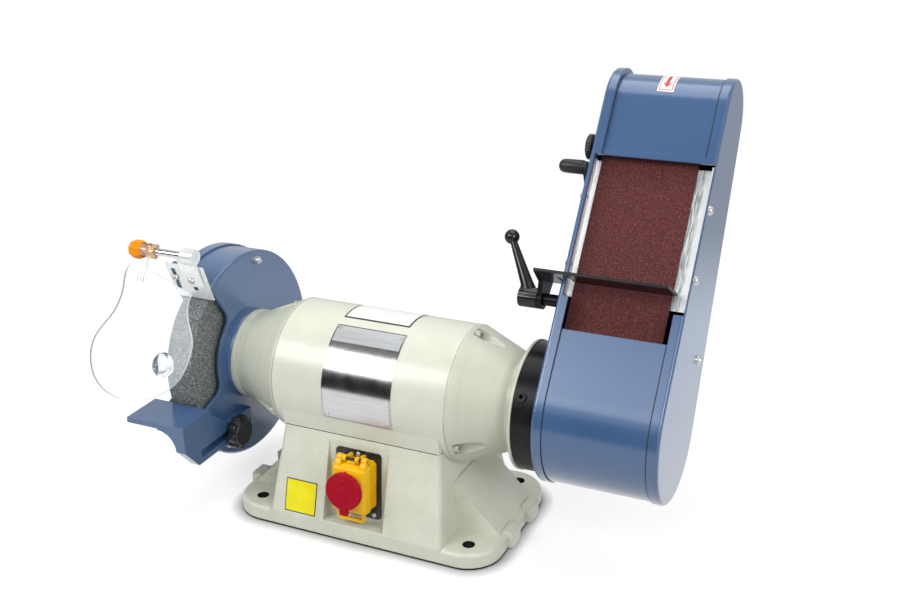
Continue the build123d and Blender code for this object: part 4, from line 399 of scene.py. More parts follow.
def guard_bolt(degrees):
    """Bolt through the guard along X: hexagon head, shank, washer, nut and a threaded end.

    A hexagon of half width w has the radius w / cos(t - 30 degrees) for t from 0 to 60 degrees.
    """
    rows = [(-234, 0), (-234, 4.0), (-233.4, 4.4), (-229, 4.4), (-229, 2.5), (-177, 2.5)]
    rows += [(-177, 5.0), (-176.1, 5.0), (-176.1, 4.2), (-173.4, 4.2), (-172.8, 3.8), (-172.8, 2.5)]
    rows += [(-172.3, 2.1), (-171.8, 2.5), (-171.3, 2.1), (-170.8, 2.5), (-170.5, 2.0), (-170.5, 0)]

    def hexagons(row, angle):
        return np.where(np.isin(row, (2, 3, 8, 9)), 1 / np.cos(angle % (np.pi / 3) - np.pi / 6), 1)

    return turned(rows, shaft_frame(0, GUARD_BOLT_CIRCLE, degrees), (1, 0, 0), hexagons), False, True


studs = [guard_bolt(a) for a in GUARD_BOLT_ANGLES]
piece("guard_studs", studs, zinc, "machine", "bright_steel", "guard_bolts")

# Name plate and top sticker
# A polished alloy plate, bent round the barrel and riveted, with a brushed head strip and an engraved frame.
# The sticker on top is a plain white film with a black printed frame.
BARREL_RADIUS = 74.0


def barrel(x, degrees, lift):
    """Point on the motor barrel, at an angle from the front upwards."""
    angle, radius = np.radians(degrees), BARREL_RADIUS + lift
    return np.stack([x, -radius * np.cos(angle), SHAFT_HEIGHT + radius * np.sin(angle)], axis=-1)


# Polished along its length: it mirrors the studio in bands and is duller towards its lower edge.
polished, tree, shader, place = start("polished alloy plate", Metallic=1.0)
colour(tree, shader, tint(tree, lumps(tree, place, 1.0, 2.0, (0.02, 1, 1)), (0.3, "#CFD0D2"), (0.7, "#DEDFE1")))
dull = spread(tree, axis(tree, place, "Z"), 0.34, 0.0, 0.138, 0.168)
fine = spread(tree, lumps(tree, place, 12), 0.13, 0.19)
colour(tree, shader, number(tree, "ADD", dull, fine), "Roughness")
dress(polished, "name_plate")
dress(zinc, "name_plate_rivets")
# Long brush strokes that spread the light.
brushed, tree, shader, place = start("brushed alloy strip", Metallic=0.7, Roughness=0.4)
colour(tree, shader, tint(tree, lumps(tree, place, 0.8, 2.0, (0.02, 1, 1)), (0.3, "#B9BBBD"), (0.7, "#D3D5D7")))
film("plate_head", barrel, (-38.5, 40.5), (50.0, 65.3), 0.94, brushed, "sheet_alloy")
for low, high in ((-16.4, -16.0), (65.5, 65.9)):
    film("plate_line", barrel, (-38.9, 40.9), (low, high), 0.94, printed_black, "black_plastic")
for left, right in ((-38.9, -38.6), (40.6, 40.9)):
    film("plate_line", barrel, (left, right), (-16.4, 65.9), 0.94, printed_black, "black_plastic")
# Clean white with a slight sheen.
white_film, tree, shader, place = start("white printed film", Roughness=0.35)
colour(tree, shader, tint(tree, lumps(tree, place, 20), (0.3, "#E6E8E4"), (0.7, "#EEF0EC")))
film("motor_sticker_edge", barrel, (-40, 39), (76, 114.5), 0.15, printed_black, "black_plastic")
film("motor_sticker", barrel, (-38.0, 37.0), (77.9, 112.6), 0.28, white_film, "sheet_alloy")

# Inside the motor and under the base
# Iron sheet stacks, varnished copper coils, a moulded capacitor and ball bearings fill the motor.
# A zinc coated sheet closes the base from below and a moulded gland sits in its rear wall.

# Edges of thin sheets, seen as fine dark and light lines.
iron, tree, shader, place = start("stacked iron sheet", Metallic=1.0, Roughness=0.5)
sheets = add(tree, "ShaderNodeTexWave", {"Vector": place, "Scale": 160.0}, bands_direction="X")
colour(tree, shader, tint(tree, sheets.outputs["Fac"], (0.0, "#4C4F53"), (1.0, "#787C80")))
dress(iron, "stator_core", "rotor_core")
# Lacquered wire that shines along its strands.
copper, tree, shader, place = start("varnished copper wire", Metallic=1.0, Roughness=0.3)
colour(tree, shader, tint(tree, lumps(tree, place, 1.2, 2.0, (0.05, 1, 1)), (0.3, "#8A4A1C"), (0.7, "#C97B3A")))
relief(tree, shader, lumps(tree, place, 1.2, 2.0, (0.05, 1, 1)), 0.4)
dress(copper, "stator_winding")
# An even mid grey with a soft sheen.
grey_plastic, tree, shader, place = start("grey moulded can", Roughness=0.45)
colour(tree, shader, tint(tree, lumps(tree, place, 12), (0.3, "#5A5D60"), (0.7, "#666A6D")))
dress(grey_plastic, "capacitor")
# Crystals of zinc a few millimetres wide, drawn out along the sheet's rolling.
galvanised, tree, shader, place = start("zinc coated sheet", Metallic=0.4)
ROLLING_SLANT = 32.07
streaks = lumps(tree, place, 7, 5.0, (1, 1, 0.12), turn=ROLLING_SLANT)
colour(tree, shader, tint(tree, streaks, (0.36, "#9AA2A2"), (0.46, "#D3D9D8"), (0.6, "#F0F3F2")))
colour(tree, shader, spread(tree, streaks, 0.5, 0.28), "Roughness")
dress(galvanised, "base_bottom_cover")
# Ground and plated steel with a faint turned grain.
steel, tree, shader, place = start("bright steel", Metallic=1.0)
colour(tree, shader, tint(tree, lumps(tree, place, 2.0, 3.0, (1, 0.1, 0.1)), (0.3, "#A8AAAA"), (0.7, "#C8CACA")))
colour(tree, shader, spread(tree, lumps(tree, place, 1.5), 0.2, 0.36), "Roughness")
dress(steel, "motor_bearings", "rotor_shaft", "wheel_flanges", "shaft_nuts", "tool_rest_bolt",
      "idler_slide", "idler_bearings", "tension_spring")
# Steel blackened in hot oil.
dark_steel, tree, shader, place = start("blackened steel", Metallic=0.6, Roughness=0.4)
colour(tree, shader, tint(tree, lumps(tree, place, 5), (0.3, "#2A2B2D"), (0.7, "#38393B")))
dress(dark_steel, "tension_lever", "lid_hinge_pin")
# Moulded black with a fine spark eroded grain and a satin skin.
black_plastic, tree, shader, place = start("black moulded plastic", Roughness=0.3)
colour(tree, shader, tint(tree, lumps(tree, place, 8), (0.3, "#17171A"), (0.7, "#1F2022")))
relief(tree, shader, lumps(tree, place, 0.6), 0.03, 0.5)
dress(black_plastic, "cable_gland", "switch_plate", "switch_body")


# Switch
# A yellow moulded box on a black plate, with a hinged lid that carries the red stop paddle.
# The lid has a latch loop below and two hooked ears above; the buttons sit inside.
def switch_loop(half_u, half_v, corner, y, x=0.0, z=3.0):
    """Closed loop about x and z on the switch at a depth y."""
    loop = rounded_loop(half_u, half_v, corner)
    return switch_frame(np.column_stack([loop[:, 0] + x, np.full(len(loop), y), loop[:, 1] + z]))


def switch_circle(radius, z, y):
    """Circle with the same points round as switch_loop."""
    loop = rounded_loop(1, 1, 1) * radius
    return switch_frame(np.column_stack([loop[:, 0], np.full(len(loop), y), loop[:, 1] + z]))


HINGE_Y, HINGE_Z = -16.9, 34.5


def ear(x):
    """Hooked ear from x on, 6.5 mm wide: a drop of radius 4 drawn out to a foot, round a pin hole of 1.9."""
    angle = np.linspace(0, 2 * np.pi, 60, endpoint=False)
    foot = np.exp(-((angle - np.radians(228)) / 0.36) ** 2)
    rows = []
    for along, inset, hole in ((0, 0, 1), (0, 0.7, 0), (0.7, 0, 0), (5.8, 0, 0), (6.5, 0.7, 0), (6.5, 0, 1)):
        radius = 1.9 if hole else 4.0 + 6.0 * foot - inset
        point = [np.full(60, x + along), HINGE_Y + radius * np.cos(angle), HINGE_Z + radius * np.sin(angle)]
        rows.append(switch_frame(np.column_stack(point)))
    return np.stack(rows), True, True


# Injection moulded gloss with slow shading and very faint flow waves.
yellow_plastic, tree, shader, place = start(
    "yellow moulded plastic", Roughness=0.28, Specular_IOR_Level=0.3, Subsurface_Weight=0.06)
shader.inputs["Subsurface Radius"].default_value = (0.002, 0.001, 0.0003)
colour(tree, shader, tint(tree, lumps(tree, place, 14), (0.3, "#EDB40C"), (0.7, "#F3BE12")))
relief(tree, shader, lumps(tree, place, 5), 0.06, 0.4, edge=0.8)
dress(yellow_plastic, "switch_box")
lips = []
for back, front, out in ((-2.1, -4.4, 1.0), (-10.6, -12.9, 0.8)):
    ring = [(0, back), (out, back), (out, front), (0, front)]
    lips.append((np.stack([switch_loop(20.9 + o, 26.4 + o, 4 + o, y) for o, y in ring]), True, True))
piece("switch_box_lips", lips, yellow_plastic, "machine", "yellow_plastic")

LID_MIDDLE = 1.6
shell = [(21, 27.9, 4, -13.4), (20.5, 27.4, 4, -21.4), (20.1, 27, 3.9, -22.2), (17.4, 24.3, 3, -25.8)]
shell = [switch_loop(*row, z=LID_MIDDLE) for row in [*shell, (16.6, 23.5, 2.8, -26.4)]]
shell += [switch_circle(7.3, 4, -26.4), switch_circle(7.3, 4, -23.9)]
shell += [switch_loop(*row, z=LID_MIDDLE) for row in ((17.8, 24.7, 2.5, -23.9), (18.6, 25.5, 2.5, -13.4))]
latch = []
for inset, y in ((3.6, -13.4), (0.5, -13.4), (0, -14.0), (0, -16.8), (0.5, -17.4), (3.6, -17.4)):
    latch.append(switch_loop(16.5 - inset, 7.5 - inset, max(4 - inset, 0.8), y, -1.0, -30.5))
rib = []
for inset, y in ((1.9, -14.6), (0.4, -14.6), (0, -15.2), (0, -19.2), (0.6, -20.2), (1.9, -20.2)):
    rib.append(switch_loop(5.1 - inset, 2.0 - inset, max(1.4 - inset, 0.05), y, 0.4, 30.4))
lid_sheets = [(np.stack(shell), True, True), ear(-16.6), ear(13), (np.stack(latch), True, True)]
lid_sheets.append((np.stack(rib), False, True))
piece("lid_shell", lid_sheets, yellow_plastic, "lid", "yellow_plastic", "switch_lid")

# Deep red with a fine eroded grain and little shine.
red_plastic, tree, shader, place = start("red moulded plastic", Roughness=0.4, Specular_IOR_Level=0.1)
colour(tree, shader, tint(tree, lumps(tree, place, 14), (0.3, "#A00922"), (0.7, "#AA0D27")))
relief(tree, shader, lumps(tree, place, 0.7), 0.02, 0.4)
dress(red_plastic, "stop_button")
# Smooth signal green.
green_plastic, tree, shader, place = start("green moulded plastic", Roughness=0.3)
colour(tree, shader, tint(tree, lumps(tree, place, 14), (0.3, "#1C7A3A"), (0.7, "#24873F")))
dress(green_plastic, "start_button")

# Face of the paddle: a flat disc with two raised arches, |u| = w below the arch's centre and a half circle above.
PADDLE_RADIUS, RIDGE_HEIGHT, RIDGE_WIDTH = 20.7, 0.55, 0.55
front = np.linspace(0, PADDLE_RADIUS - 1.0, 60)
radius = np.concatenate([front, PADDLE_RADIUS - np.array([0.35, 0, 0, 0.5]), [7, 7, 0]])
depth = np.concatenate([np.full(60, -36.8), [-36.4, -35.6, -31.4, -30.8], [-30.8, -17.9, -17.9]])
angle = np.linspace(0, 2 * np.pi, 180, endpoint=False)
u, v = radius[:, None] * np.cos(angle), radius[:, None] * np.sin(angle)
y = depth[:, None] * np.ones_like(u)
for width, centre, bottom in ((10.7, 3.0, -20.0), (5.4, -0.8, -12.0)):
    away = np.where(v > centre, np.hypot(u, v - centre), np.abs(u)) - width
    ridge = RIDGE_HEIGHT * np.exp(-(away / RIDGE_WIDTH) ** 2) * np.clip(v - bottom, 0, 1)
    y[:60] -= ridge[:60]
disc = switch_frame(np.stack([u, y, v + 4], axis=-1))
tab = []
for inset, level in ((4.6, -31.0), (0.6, -31.0), (0, -31.6), (0, -35.4), (0.8, -36.2), (4.6, -36.2)):
    loop = rounded_loop(4.7 - inset, 5 - inset, max(1.4 - inset, 0.04))
    tab.append(switch_frame(np.column_stack([loop[:, 0], np.full(len(loop), level), loop[:, 1] - 18.5])))
nib = turned([(0, 0), (0, 2.4), (3, 0.8), (3.4, 0)], (0, 0, 0), (0, 0, 1))
nib = switch_frame(nib * (1, 0.7, 1) + (1.6, -33.2, 23.8))
paddle = [(disc, False, True), (np.stack(tab), False, True), (nib, False, True)]
piece("paddle_disc", paddle, red_plastic, "paddle", "red_plastic", "stop_paddle")

# Grinding wheel
# Vitrified silicon carbide, moulded and fired; open pores between light and dark grains.
# Grains are drawn about 0.8 mm wide, coarser than life, so that they still read at this distance.
stone, tree, shader, place = start("vitrified grit", Roughness=0.85, Specular_IOR_Level=0.25)
speck = grains(tree, place, 0.8, "Color")
grit = add(tree, "ShaderNodeSeparateColor", {0: speck}).outputs[0]
stops = ((0.0, "#4A4F50"), (0.3, "#616667"), (0.72, "#787D7D"), (0.9, "#9EA2A2"), (1.0, "#C3C6C6"))
colour(tree, shader, tint(tree, grit, *stops))
relief(tree, shader, grains(tree, place, 0.8), 0.25, 0.6, edge=1.2)
dress(stone, "grinding_wheel")

# Wheel guard, tool rest and arm sheets
# Pressed and folded sheet with a smooth blue enamel; the guard and the rest are castings in the same paint.
# Sprayed enamel has a fine orange peel and every fold shows a thin light line.
blue_paint, tree, shader, place = start(
    "blue enamel", Roughness=0.3, Coat_Weight=1.0, Coat_Roughness=0.17, Coat_IOR=1.6)
shader.inputs["Specular Tint"].default_value = linear("#C0D6F4")
colour(tree, shader, tint(tree, lumps(tree, place, 60), (0.3, "#3B5A82"), (0.7, "#405E87")))
relief(tree, shader, lumps(tree, place, 3.5, 2.0), 0.05, 0.5, edge=1.0)
dress(blue_paint, "tool_rest", "arm_side_plate", "lower_cover", "upper_cover", "rear_cover", "side_door")
# On the cast guard the paint runs thick round the lip of the mouth.
guard_paint, tree, shader, place = start(
    "blue enamel on casting", Roughness=0.3, Coat_Weight=1.0, Coat_Roughness=0.15)
colour(tree, shader, tint(tree, lumps(tree, place, 60), (0.3, "#40608A"), (0.7, "#45658F")))
relief(tree, shader, lumps(tree, place, 4.5, 2.0), 0.08, 0.5, edge=3.0)
dress(guard_paint, "wheel_guard", "guard_cover")

# Tool rest knob
# A moulded black hand knob with deep grips and a flat cap, on the rest's clamping bolt.
knob = [(0, 0), (0, 10), (2.5, 10), (2.5, 17.6), (3.2, 19.0), (4.2, 19.5), (11.4, 19.5)]
knob += [(12.6, 19.0), (13.2, 17.8), (13.2, 15.6), (13.9, 15.2), (15, 14.4), (15, 0)]


def grips(row, angle):
    """Nine rounded grips: the radius of rows 3 to 8 falls by a seventh in each hollow."""
    return np.where((row > 2) & (row < 9), 1 - 0.075 * (1 - np.tanh(2.4 * np.cos(9 * angle))), 1)


grid = turned(knob, (-165.7, -62.5, 88), (1, 0, 0), grips, 216)
piece("rest_knob", [(grid, False, True)], black_plastic, "tool_knob", "black_plastic", "tool_rest_knob")

# Eye shield
# A clear moulded pane with a round lens, clamped on a plated rod between an orange knob and nut.
# The pane is nearly unseen on white and hazes what lies behind; its cut edge shows as a thin line.
# The rod sits in a bracket of plated sheet beside the spark plate.

# Smooth zinc plated sheet, cut and bent after rolling.
bright_sheet, tree, shader, place = start("bright plated sheet", Metallic=0.45)
colour(tree, shader, tint(tree, lumps(tree, place, 25), (0.3, "#E9EBEB"), (0.7, "#F5F6F6")))
colour(tree, shader, spread(tree, lumps(tree, place, 18), 0.2, 0.32), "Roughness")
dress(bright_sheet, "spark_plate", "shield_bracket")
# Mirror bright, so that the rod shows the studio as black and white stripes.
chrome, tree, shader, place = start("plated rod", Metallic=1.0, Roughness=0.07)
colour(tree, shader, tint(tree, lumps(tree, place, 20), (0.3, "#D2D5D8"), (0.7, "#E2E4E6")))
dress(chrome, "shield_rod")
# Warm and slightly glowing where the light sinks in.
orange_plastic, tree, shader, place = start(
    "orange moulded plastic", Roughness=0.22, Specular_IOR_Level=0.12, Subsurface_Weight=0.1)
shader.inputs["Subsurface Radius"].default_value = (0.003, 0.001, 0.0003)
colour(tree, shader, tint(tree, lumps(tree, place, 8), (0.3, "#F58A06"), (0.7, "#FB9A12")))
# The nut is the same orange, but clear.
clear_orange, tree, shader, place = start(
    "clear orange plastic", Roughness=0.08, Transmission_Weight=0.9, IOR=1.3)
colour(tree, shader, tint(tree, lumps(tree, place, 8), (0.3, "#FFCFA0"), (0.7, "#FFDFC0")))
dress(clear_orange, "shield_nut")


def shield_frame(points):
    """From the pane's own frame, hanging from the rod, to the machine."""
    return leaned(points, -25, -76.84, 296.80)


profile = [(0, 0), (0, 6.6), (0.5, 8.2), (1.6, 9.3), (3.6, 10.1), (8, 10.5)]
profile += [(12.8, 10.4), (14.2, 9.6), (15.1, 8.4), (15.1, 0)]


def flutes(row, angle):
    """Eight soft flutes along the rows 2 to 7."""
    return np.where((row > 1) & (row < 8), 1 - 0.05 * (1 - np.cos(8 * angle)) ** 0.7, 1)


grid = shield_frame(turned(profile, (-266, 0, 0), (1, 0, 0), flutes, 128))
piece("clamp_knob", [(grid, False, True)], orange_plastic, "shield_clamp", "orange_plastic", "shield_knob")

# The lens is two caps of a sphere on the pane's boss, so that the wheel shows in it upside down.
LENS_RADIUS, LENS_RISE, LENS_X, LENS_Z = 13.7, 3.7, -201.0, -118.0
ball = (LENS_RADIUS**2 + LENS_RISE**2) / (2 * LENS_RISE)
reach = LENS_RADIUS * np.sin(np.linspace(0, np.pi / 2, 16))
rise = np.sqrt(ball**2 - reach**2) - (ball - LENS_RISE)
profile = np.column_stack([np.append(rise, -rise[::-1][1:]), np.append(reach, reach[::-1][1:])])
grid = shield_frame(turned(profile, (LENS_X, 0, LENS_Z), (0, -1, 0), None, 64))
# Clear as water, with a bent image and a bright rim.
lens_glass, tree, shader, place = start("clear lens", Roughness=0.02, Transmission_Weight=1.0, IOR=1.49)
colour(tree, shader, tint(tree, lumps(tree, place, 20), (0.3, "#F8FAFC"), (0.7, "#FDFEFF")))
piece("shield_lens", [(grid, False, True)], lens_glass, "shield", "clear_plastic")


def either(tree, factor, one, other):
    """Shader between one and the other."""
    return add(tree, "ShaderNodeMixShader", {0: factor, 1: one, 2: other}).outputs[0]


# Pane: what lies behind, a little dimmed, plus a white haze; open behind the lens.
# Its cut edge is drawn dark on the left as painted shade and white over the wheel as a painted highlight.
PANE_OUT, LENS_OPENING, ROD_END = (0, -0.9063, 0.4226), 0.014, (-246.7, 0, 0)
pane, tree, shader, place = start("clear pane", Roughness=0.06)
facing = add(tree, "ShaderNodeTexCoord").outputs["Normal"]
flat = vector(tree, "DOT_PRODUCT", facing, PANE_OUT, result="Value")
flat = spread(tree, number(tree, "ABSOLUTE", flat), 0, 1, 0.55, 0.8)
colour(tree, shader, tint(tree, lumps(tree, place, 40), (0.3, "#6B6C6C"), (0.7, "#727373")))
clear = add(tree, "ShaderNodeBsdfTransparent", {0: linear("#EEF0F2")})
hazed = add(tree, "ShaderNodeAddShader", {0: clear.outputs[0], 1: shader.outputs[0]}).outputs[0]
centre = tuple((shield_frame((LENS_X, 0, LENS_Z)) / 1000).tolist())
gap = vector(tree, "DISTANCE", place, centre, result="Value")
beside = number(tree, "GREATER_THAN", gap, LENS_OPENING)
empty = add(tree, "ShaderNodeBsdfTransparent", {0: (1, 1, 1, 1)})
hazed = either(tree, beside, empty.outputs[0], hazed)
rod = tuple((shield_frame(ROD_END) / 1000).tolist())
grey = spread(tree, vector(tree, "DISTANCE", place, rod, result="Value"), 0.08, 0.75, 0.022, 0.036)
across = spread(tree, axis(tree, place, "X"), 0.0, 1.0, -0.235, -0.195)
edge_painted_shade_and_highlight = add(tree, "ShaderNodeBsdfDiffuse", {0: tint(tree, across, (0.0, "#4E5154"), (1.0, "#F4F6F8"))})
cut = either(tree, grey, clear.outputs[0], edge_painted_shade_and_highlight.outputs[0])
tree.links.new(either(tree, flat, cut, hazed), tree.nodes["Material Output"].inputs["Surface"])
dress(pane, "eye_shield")

# Belt arm: collar, rollers and belt
# A black collar clamps the arm on the motor's neck; two turned alloy rollers carry the belt over a sheet platen.
# The collar, the table and its rod are steel under a thick black gloss.
black_paint, tree, shader, place = start("black gloss paint", Roughness=0.28, Specular_IOR_Level=0.2)
colour(tree, shader, tint(tree, lumps(tree, place, 12), (0.3, "#121214"), (0.7, "#1B1B1E")))
relief(tree, shader, lumps(tree, place, 6, 2.0), 0.12, 0.5, edge=0.8)
dress(black_paint, "clamp_collar", "work_rest", "rest_rod", "collar_set_screw")
# Turned bright, with the tool's fine rings.
cast_alloy, tree, shader, place = start("turned cast alloy", Metallic=1.0, Roughness=0.32)
rings = lumps(tree, place, 1.0, 3.0, (1, 0.03, 0.03))
colour(tree, shader, tint(tree, rings, (0.3, "#9FA2A3"), (0.7, "#B9BCBD")))
dress(cast_alloy, "drive_drum", "idler_roller")
# Beside the belt's left edge the platen is drawn near white as a painted highlight; right of the belt its
# crystals end at a painted highlight along the rim.
platen_zinc, tree, shader, place = start("zinc sheet with painted highlights")
streaks = lumps(tree, place, 1.4, 6.0, (1, 1, 0.06), turn=ARM_TILT)
spangle = tint(tree, streaks, (0.38, "#7F8888"), (0.5, "#B4BCBC"), (0.62, "#E2E7E7"))
across = axis(tree, place, "X")
# A narrow band along the rim is drawn white as a painted highlight.
rim_painted_highlight = spread(tree, across, 0.0, 0.85, 0.3105, 0.3135)
spangle = blend(tree, rim_painted_highlight, spangle, linear("#F4F6F6"))
# Left of the belt the colour turns near white as a painted highlight.
side = spread(tree, across, 0.0, 1.0, 0.2, 0.3)
colour(tree, shader, blend(tree, side, linear("#FCFDFD"), spangle))
colour(tree, shader, spread(tree, side, 0.9, 0.3, 0.0, 1.0), "Metallic")
colour(tree, shader, spread(tree, side, 0.55, 0.36, 0.0, 1.0), "Roughness")
dress(platen_zinc, "platen")
# Red brown grit on cloth; grains about 0.5 mm wide, coarser than life, with a few that catch the light.
cloth, tree, shader, place = start("grit on cloth", Roughness=0.8, Specular_IOR_Level=0.25)
grit = add(tree, "ShaderNodeSeparateColor", {0: grains(tree, place, 0.5, "Color")}).outputs[0]
stops = ((0.0, "#371818"), (0.3, "#4E2525"), (0.7, "#602F30"), (0.9, "#733E3D"), (1.0, "#8E5A56"))
colour(tree, shader, tint(tree, grit, *stops))
relief(tree, shader, grains(tree, place, 0.5), 0.12, 0.5)
dress(cloth, "sanding_belt")


# Arm knobs and clamp lever
# A knurled tracking knob, a rubber tension grip and a black ball-ended lever that clamps the table.
# All are moulded or die cast and black.
def knurl(row, angle):
    """Thirty fine ribs on the rows 4 to 6."""
    return np.where((row > 3) & (row < 7), 1 - 0.02 * (1 - np.cos(30 * angle)), 1)


profile = [(0, 0), (0, 9.2), (0.4, 9.8), (0.4, 11.6), (1.1, 12.9), (1.9, 13.3)]
profile += [(5.6, 13.3), (6.5, 12.2), (6.5, 3), (14.5, 3), (14.5, 0)]
grid = arm_frame(turned(profile, (186.5, -38, 269.5), (1, 0, 0), knurl, 240))
piece("steering_knob", [(grid, False, True)], black_plastic, "tracking", "black_plastic", "tracking_knob")

# Dull black with a fine leathery grain.
grip_rubber, tree, shader, place = start("grip rubber", Roughness=0.42)
colour(tree, shader, tint(tree, lumps(tree, place, 10), (0.3, "#18181B"), (0.7, "#212124")))
relief(tree, shader, lumps(tree, place, 0.8), 0.04, 0.5)
profile = [(0, 0), (0.25, 2.2), (0.9, 3.8), (2.2, 5.5), (4.2, 6.7)]
profile += [(7, 7.2), (14, 7.4), (26.2, 7.5), (27.3, 6.9), (27.3, 0)]
grid = arm_frame(turned(profile, (161, -41, 246), (1, 0, 0), None, 64))
piece("lever_grip", [(grid, False, True)], grip_rubber, "tension", "grip_rubber", "tension_grip")

STEM_FOOT, STEM_BALL = (162, -47, 103), (128, -47, 163)
profile = [(2.2, 0), (2.2, 5.3), (21.0, 5.3), (21.0, 9.7), (20.5, 10.3)]
profile += [(19.6, 10.5), (2.0, 10.5), (0.7, 10.1), (0.1, 9.0), (0, 0)]


def ribs(row, angle):
    """Shallow ribs along the outside of the hub."""
    return np.where((row == 5) | (row == 6), 1 - 0.012 * (1 - np.cos(28 * angle)), 1)


hub = turned(profile, (149.5, -47, 103), (1, 0, 0), ribs, 168)
away = np.array(STEM_BALL, float) - STEM_FOOT
length = np.linalg.norm(away)
along = np.linspace(0, 1, 14)
stem = turned(np.column_stack([along * length, 8 - 4.6 * along**0.85]), STEM_FOOT, away, None, 48)
# The foot of the stem is slid along its own axis until it lies on a cylinder of 9 mm, inside the hub's wall.
level = np.sqrt(9.0**2 - (stem[0, :, 1] - STEM_FOOT[1]) ** 2) + STEM_FOOT[2]
stem[0] += ((level - stem[0, :, 2]) / away[2])[:, None] * away
stem[1:3] = stem[0] + (stem[3] - stem[0]) * np.array([0.33, 0.67])[:, None, None]
half = np.linspace(0, np.pi, 24)
tip = turned(np.column_stack([-7.9 * np.cos(half), 7.9 * np.sin(half)]), STEM_BALL, away, None, 48)
sheets = [(arm_frame(grid), False, True) for grid in (hub, stem, tip)]
# Wet looking black over a slightly wavy casting.
black_gloss, tree, shader, place = start("black gloss casting", Roughness=0.17)
colour(tree, shader, tint(tree, lumps(tree, place, 10), (0.3, "#141416"), (0.7, "#1C1C1F")))
relief(tree, shader, lumps(tree, place, 5, 2.0), 0.08, 0.5)
piece("table_clamp", sheets, black_gloss, "rest_clamp", "black_plastic", "clamp_lever")

# Joints of the covers
# The covers lie under the rims of the side plate and the door; the open joints show as dark lines.
# Each line is a thin dark film on the cover, painted shade in the open joint, from the rear of the crown or of
# the foot round to the window.
CROWN_RADIUS, FOOT_RADIUS, ROLLER_SPACING = 41.7, 73.6, 321.4


def cover_skin(x, along, lift):
    """Point on the covers, along millimetres up from where the flat front meets the crown.

    The front leans by asin((R - r) / spacing) between the foot of radius R and the crown of radius r.
    """
    lean = math.asin((FOOT_RADIUS - CROWN_RADIUS) / ROLLER_SPACING)
    length = ROLLER_SPACING * math.cos(lean)
    flat = np.clip(along, -length, 0)
    low = along < -length
    angle = lean + np.maximum(along, 0) / CROWN_RADIUS + np.minimum(along + length, 0) / FOOT_RADIUS
    radius = np.where(low, FOOT_RADIUS, CROWN_RADIUS) + lift
    y = -radius * np.cos(angle) + np.where(low, 0, flat * math.sin(lean))
    z = radius * np.sin(angle) + np.where(low, 0, ROLLER_SPACING + flat * math.cos(lean))
    return arm_frame(np.stack([x, y, z], axis=-1))


for left, right in ((206.2, 206.9), (310.9, 312.2)):
    film("crown_joint_shade", cover_skin, (left, right), (-59, 120), 0.16, seam_sealant_and_joint_shade, "black_plastic", "arm", 96)
    film("foot_joint_shade", cover_skin, (left, right), (-480, -254), 0.16, seam_sealant_and_joint_shade, "black_plastic", "arm", 96)


# Belt direction mark
# A small printed film on the crown of the upper cover: white, with a red line and an arrow down the belt.
def crown(x, degrees, lift):
    """Point on the crown of the upper cover, at an angle from the front upwards about the upper roller."""
    angle, radius = np.radians(degrees), CROWN_RADIUS + lift
    return arm_frame(np.stack([x, -radius * np.cos(angle), ROLLER_SPACING + radius * np.sin(angle)], axis=-1))


def arrow_head(across, degrees, lift):
    """The crown narrowed to a point towards its lower end."""
    return crown(256 + across * (degrees - 25) / 9, degrees, lift)


# Flat signal red.
printed_red, tree, shader, place = start("printed red", Roughness=0.4)
colour(tree, shader, tint(tree, lumps(tree, place, 4), (0.3, "#C4202C"), (0.7, "#CF2833")))
film("mark_sheet", crown, (247.4, 264.6), (17.5, 62), 0.15, white_film, "sheet_alloy", "arm")
film("mark_line", crown, (248.9, 263.1), (20, 60), 0.28, printed_red, "red_plastic", "arm")
film("mark_field", crown, (249.7, 262.3), (21.2, 58.8), 0.41, white_film, "sheet_alloy", "arm")
film("mark_arrow", crown, (254.2, 257.8), (33, 56), 0.54, printed_red, "red_plastic", "arm")
film("mark_point", arrow_head, (-4.2, 4.2), (25.1, 34), 0.54, printed_red, "red_plastic", "arm")

# Studio
# A white paper sweep under large soft boxes, seen by the camera from the photograph's place.
# In front lies a dark gap between the lit paper and the soft box, which polished faces show as a band.
REACH = 20.0
floor_mesh = bpy.data.meshes.new("floor")
square = [(-REACH, -REACH, 0), (REACH, -REACH, 0), (REACH, REACH, 0), (-REACH, REACH, 0)]
floor_mesh.from_pydata(square, [], [(0, 1, 2, 3)])
floor = bpy.data.objects.new("floor", floor_mesh)
bpy.context.scene.collection.objects.link(floor)
# Matt white with the faintest fibre; glossy faces see it end in front and fade far behind.
paper, tree, shader, place = start("white paper sweep", Roughness=0.9, Specular_IOR_Level=0.1)
path = add(tree, "ShaderNodeLightPath").outputs
depth = axis(tree, place, "Y")
near = spread(tree, depth, 0.03, 1.0, -1.15, -0.95)
far = spread(tree, depth, 0.0, -0.5, 0.66, 1.1)
lit = number(tree, "ADD", near, far)
cool = tint(tree, spread(tree, depth, 0.0, 1.0, 0.1, 0.5), (0.0, "#FFFFFF"), (1.0, "#F0F6FF"))
mirrored = add(tree, "ShaderNodeEmission", {"Color": cool, "Strength": lit})
# The paper's own glow fades out over the last 15 mm before the foot, 315 by 186 mm with corners of 37.5 mm, as a
# painted shade along the foot, so that its joint stays dark.
FOOT_CORNER = (0.12, 0.0555, 0)
out = vector(tree, "SUBTRACT", vector(tree, "ABSOLUTE", place), FOOT_CORNER)
out = vector(tree, "LENGTH", vector(tree, "MAXIMUM", out, (0, 0, 0)), result="Value")
clear_of_foot = spread(tree, out, 0.0, 0.57, 0.0385, 0.0535)
